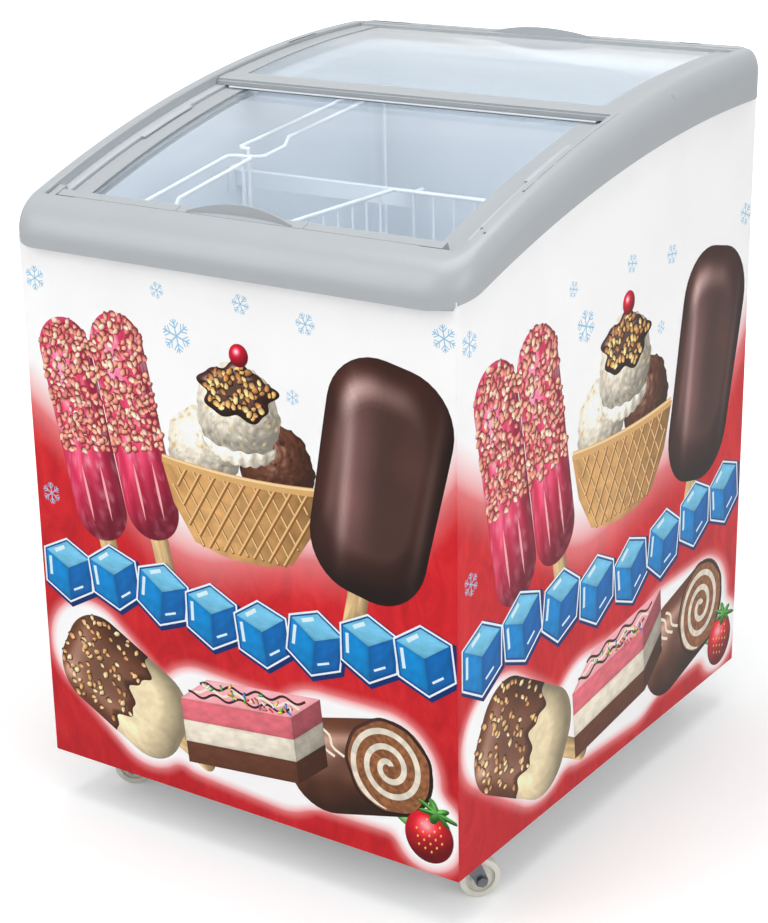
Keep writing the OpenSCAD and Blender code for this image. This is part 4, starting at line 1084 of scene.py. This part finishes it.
GLOWS = (  # round ended bars behind the lower motifs: x and v of both ends, radius
    (-234, 222, -146, 152, 50),
    (-60, 167, 58, 158, 56),
    (116, 178, 206, 178, 60),
    (264, 114, 268, 124, 30),
)


# edge of the red: its height in the middle, its rise at the sides, its wave; then how far it and a glow fade
RED_V, RED_RISE, RED_WAVE, RED_FADE, GLOW_FADE = 404, 150, 14, 150, 30


def ground(u, v, stretch):
    """How white the ground is at (u, v): 1 above, 0 in the red, with glows round the lower motifs."""
    x = u / stretch
    line = RED_V + RED_RISE * np.abs(x / CXO) ** 2.2 + RED_WAVE * np.sin(x / 47)
    red = 1 - soft_step((v - line) / RED_FADE + 0.5)
    for ax, ay, bx, by, radius in GLOWS:
        dx, dy = bx - ax, by - ay
        t = np.clip(((x - ax) * dx + (v - ay) * dy) / (dx * dx + dy * dy), 0, 1)
        far = np.hypot(x - ax - t * dx, v - ay - t * dy) - radius
        red = red * soft_step(far / GLOW_FADE)
    return 1 - red


FILM_FINISH = {"rough": 0.3, "Specular_IOR_Level": 0.14}


def film_material():
    """The film's ground: mottled red, a little darker at the foot, white where the glow attribute is 1."""
    m = Mat("print_film", srgb(214, 40, 46), **FILM_FINISH)
    glow = m.node("ShaderNodeAttribute", attribute_name="glow").outputs["Fac"]
    strokes = m.noise(26, 6, 0.62, (1, 1, 0.55), 1.4)
    cloud = m.noise(7, 4, 0.6)
    red = m.ramp(strokes, [(0.32, srgb(170, 20, 30)), (0.5, srgb(206, 26, 36)), (0.7, srgb(226, 48, 52))])
    deep = m.ramp(cloud, [(0.35, srgb(190, 20, 32)), (0.65, srgb(222, 34, 42))])
    red = m.mix(red, deep, 0.45)
    foot = m.ramp(m.axis("Z"), [(0.07, (0.86, 0.9, 0.9)), (0.36, 1.0)])
    red = m.mix(red, foot, 1.0, "MULTIPLY")
    white = m.ramp(m.noise(12, 4), [(0.3, srgb(250, 250, 251)), (0.7, srgb(255, 255, 255))])
    pink = m.mix(red, srgb(248, 158, 160), m.ramp(glow, [(0.0, 0.0), (0.55, 0.85), (1.0, 1.0)]))
    m.colour(m.mix(pink, white, m.ramp(glow, [(0.35, 0.0), (0.9, 1.0)])))
    m.bump(m.noise(180, 2), 0.03, 0.0003)
    return m.material


def ink_material():
    """The inks: the colours stored with the points, with a fine grain."""
    m = Mat("print_ink", **FILM_FINISH)
    ink = m.node("ShaderNodeAttribute", attribute_name="ink").outputs["Color"]
    grain = m.ramp(m.noise(420, 4, 0.7), [(0.3, 0.9), (0.7, 1.0)])
    m.colour(m.mix(ink, grain, 1.0, "MULTIPLY"))
    m.bump(m.noise(180, 2), 0.03, 0.0003)
    return m.material


film_mat, ink_mat = film_material(), ink_material()

PANEL_COLUMNS, PANEL_ROWS = 150, 190
# millimetres: film's back off the shell, inks off the film, their depth, their distance from the sides
FILM_BACK, INK_CLEAR, INK_DEPTH, INK_MARGIN = 0.02, 0.01, 0.25, 1


def film_panel(side, spot, half, top, stretch):
    """Printed film in place of its CAD node, and its inks. spot(u, v, d) is the point u across, v up and
    d out, in millimetres, with u from -half to half; top(u) is the height of the upper edge."""
    n, m = PANEL_COLUMNS, PANEL_ROWS
    us = np.linspace(-half, half, n)
    verts, glow = [], []
    for depth in (FILM, FILM_BACK):
        for j in range(m):
            v = CAB_Z + (top(us) - CAB_Z) * (j / (m - 1))
            verts += [spot(a, b, depth) for a, b in zip(us, v)]
            glow.append(ground(us, v, stretch))
    face = lattice(n, m)
    at = np.arange(n * m).reshape(m, n)
    ring = [*at[0], *at[1:, -1], *at[-1, -2::-1], *at[-2:0:-1, 0]]
    k = n * m
    edge = [(b, a, a + k, b + k) for a, b in zip(ring, ring[1:] + ring[:1])]
    back = [tuple(k + i for i in reversed(f)) for f in face]
    points = np.array(verts) * MM
    faces = face + edge + back
    film = new_object("print_" + side, points, faces, film_mat, "cabinet", smooth=False)
    values = film.data.attributes.new("glow", "FLOAT", "POINT").data
    values.foreach_set("value", np.concatenate(glow).astype(np.float32))
    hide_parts("graphic_" + side)
    art = Print()
    compose(art, stretch)
    flat = np.vstack(art.points)
    depths = FILM + INK_CLEAR + INK_DEPTH * flat[:, 2] / flat[:, 2].max()
    across = np.clip(flat[:, 0], INK_MARGIN - half, half - INK_MARGIN)
    points = np.array([spot(*p) for p in zip(across, flat[:, 1], depths)]) * MM
    inks = new_object(film.name + "_inks", points, art.faces, ink_mat, "cabinet")
    values = inks.data.color_attributes.new("ink", "FLOAT_COLOR", "POINT").data
    colours = stack(linear(np.vstack(art.colours)), np.ones(len(flat)))
    values.foreach_set("color", colours.astype(np.float32).ravel())


SIDE_HALF, SIDE_MID = (CYR - CYF) / 2, (CYR + CYF) / 2
SIDE_STRETCH = SIDE_HALF / CXO
side_top = np.vectorize(lambda u: film_top(u + SIDE_MID))
film_panel("front", lambda u, v, d: (u, CYF - d, v), CXO, lambda u: 0 * u + film_top(CYF), 1.0)
film_panel("right", lambda u, v, d: (CXO + d, u + SIDE_MID, v), SIDE_HALF, side_top, SIDE_STRETCH)
film_panel("left", lambda u, v, d: (-CXO - d, SIDE_MID - u, v), SIDE_HALF, lambda u: side_top(-u),
           SIDE_STRETCH)


# Camera, lamps, world and floor


AZIMUTH, ELEVATION, ROLL = math.radians(34.59), math.radians(19.28), math.radians(-0.94)
DISTANCE, TARGET, LENS = 2.66394, Vector((-0.03257, 0.0, 0.40087)), 80.2


def photo_camera():
    """Camera at the photograph's viewing angle, with its slight roll."""
    back = Vector((
        math.sin(AZIMUTH) * math.cos(ELEVATION), -math.cos(AZIMUTH) * math.cos(ELEVATION), math.sin(ELEVATION)
    ))
    level = (-back).cross(Vector((0, 0, 1))).normalized()
    upright = level.cross(-back)
    right = level * math.cos(ROLL) + upright * math.sin(ROLL)
    up = upright * math.cos(ROLL) - level * math.sin(ROLL)
    eye = TARGET + back * DISTANCE
    cam = in_scene("camera", bpy.data.cameras.new("camera"))
    cam.data.lens, cam.data.sensor_width = LENS, 36
    cam.data.clip_start, cam.data.clip_end = 0.05, 50
    cam.matrix_world = Matrix([(right[i], up[i], back[i], eye[i]) for i in range(3)] + [(0, 0, 0, 1)])
    bpy.context.scene.camera = cam


photo_camera()


def disk_lamp(name, place, aim_height, size, power):
    light = bpy.data.lights.new(name, "AREA")
    light.shape, light.size, light.energy = "DISK", size, power
    o = in_scene(name, light)
    o.location = place
    o.rotation_euler = (Vector((0, 0, aim_height)) - Vector(place)).to_track_quat("-Z", "Y").to_euler()
    return o


disk_lamp("key", (-1.8, -2.6, 2.6), 0.4, 2.6, 36)
disk_lamp("fill", (3.0, -1.2, 1.8), 0.4, 2.4, 28)
disk_lamp("top", (0.1, -0.2, 3.0), 0.6, 2.6, 44)
rear_lamp = disk_lamp("rear", (-0.9, 3.4, 0.9), 0.45, 2.4, 20)
rear_lamp.visible_glossy = rear_lamp.visible_camera = False

# strength of the world: as light, as the glass mirrors it low down and high up, as seen through glass
SKY_LIGHT, GLOSS_LOW, GLOSS_HIGH, SKY_THROUGH = 0.5, 0.72, 0.28, 0.9


def studio_world():
    """White world. Mirrored in the glass it is a pale wall that darkens upward, with faint long clouds."""
    world = bpy.data.worlds.new("studio")
    bpy.context.scene.world = world
    world.use_nodes = True
    w = Graph(world.node_tree, "Generated")
    fall = w.map_range(w.axis("Z"), (0.3, 0.75), (GLOSS_LOW, GLOSS_HIGH), interpolation_type="SMOOTHSTEP")
    clouds = w.map_range(w.noise(2.2, 2.0, stretch=(1.0, 1.0, 9.0)), (0.35, 0.65), (0.78, 1.12))
    path = w.node("ShaderNodeLightPath")

    def choose(ray, otherwise, value):
        """value for that kind of ray, otherwise for the rest."""
        n = w.node("ShaderNodeMix")
        for name, v in (("Factor", path.outputs[ray]), ("A", otherwise), ("B", value)):
            w.put(v, n.inputs[name])
        return n.outputs["Result"]

    strength = choose("Is Glossy Ray", SKY_LIGHT, w.math("MULTIPLY", fall, clouds))
    strength = choose("Is Transmission Ray", strength, SKY_THROUGH)
    strength = choose("Is Camera Ray", strength, 1.0)
    background = w.tree.nodes["Background"]
    background.inputs["Color"].default_value = (1, 1, 1, 1)
    w.link(strength, background.inputs["Strength"])


studio_world()

FLOOR_HALF = 14
# the floor's glow to the camera: distances from the middle in metres, and strengths there
GLOW_AT, GLOW_STRENGTH = (0.4, 3.2), (0.16, 1.0)


def studio_floor():
    """Pale floor that fades to white away from the freezer."""
    e = FLOOR_HALF
    mesh = bpy.data.meshes.new("floor")
    mesh.from_pydata([(-e, -e, 0), (e, -e, 0), (e, e, 0), (-e, e, 0)], [], [(0, 1, 2, 3)])
    floor = in_scene("floor", mesh)
    m = Mat("floor", rough=0.7)
    m.colour(m.ramp(m.noise(3, 3), [(0.3, 0.93), (0.7, 0.95)]))
    glow = m.map_range(m.length(m.coord), GLOW_AT, GLOW_STRENGTH, interpolation_type="SMOOTHSTEP")
    seen = m.node("ShaderNodeLightPath").outputs["Is Camera Ray"]
    m.shader.inputs["Emission Color"].default_value = (1, 1, 1, 1)
    m.link(m.math("MULTIPLY", seen, glow), m.shader.inputs["Emission Strength"])
    mesh.materials.append(m.material)


studio_floor()

bpy.context.scene.view_settings.view_transform = "Standard"
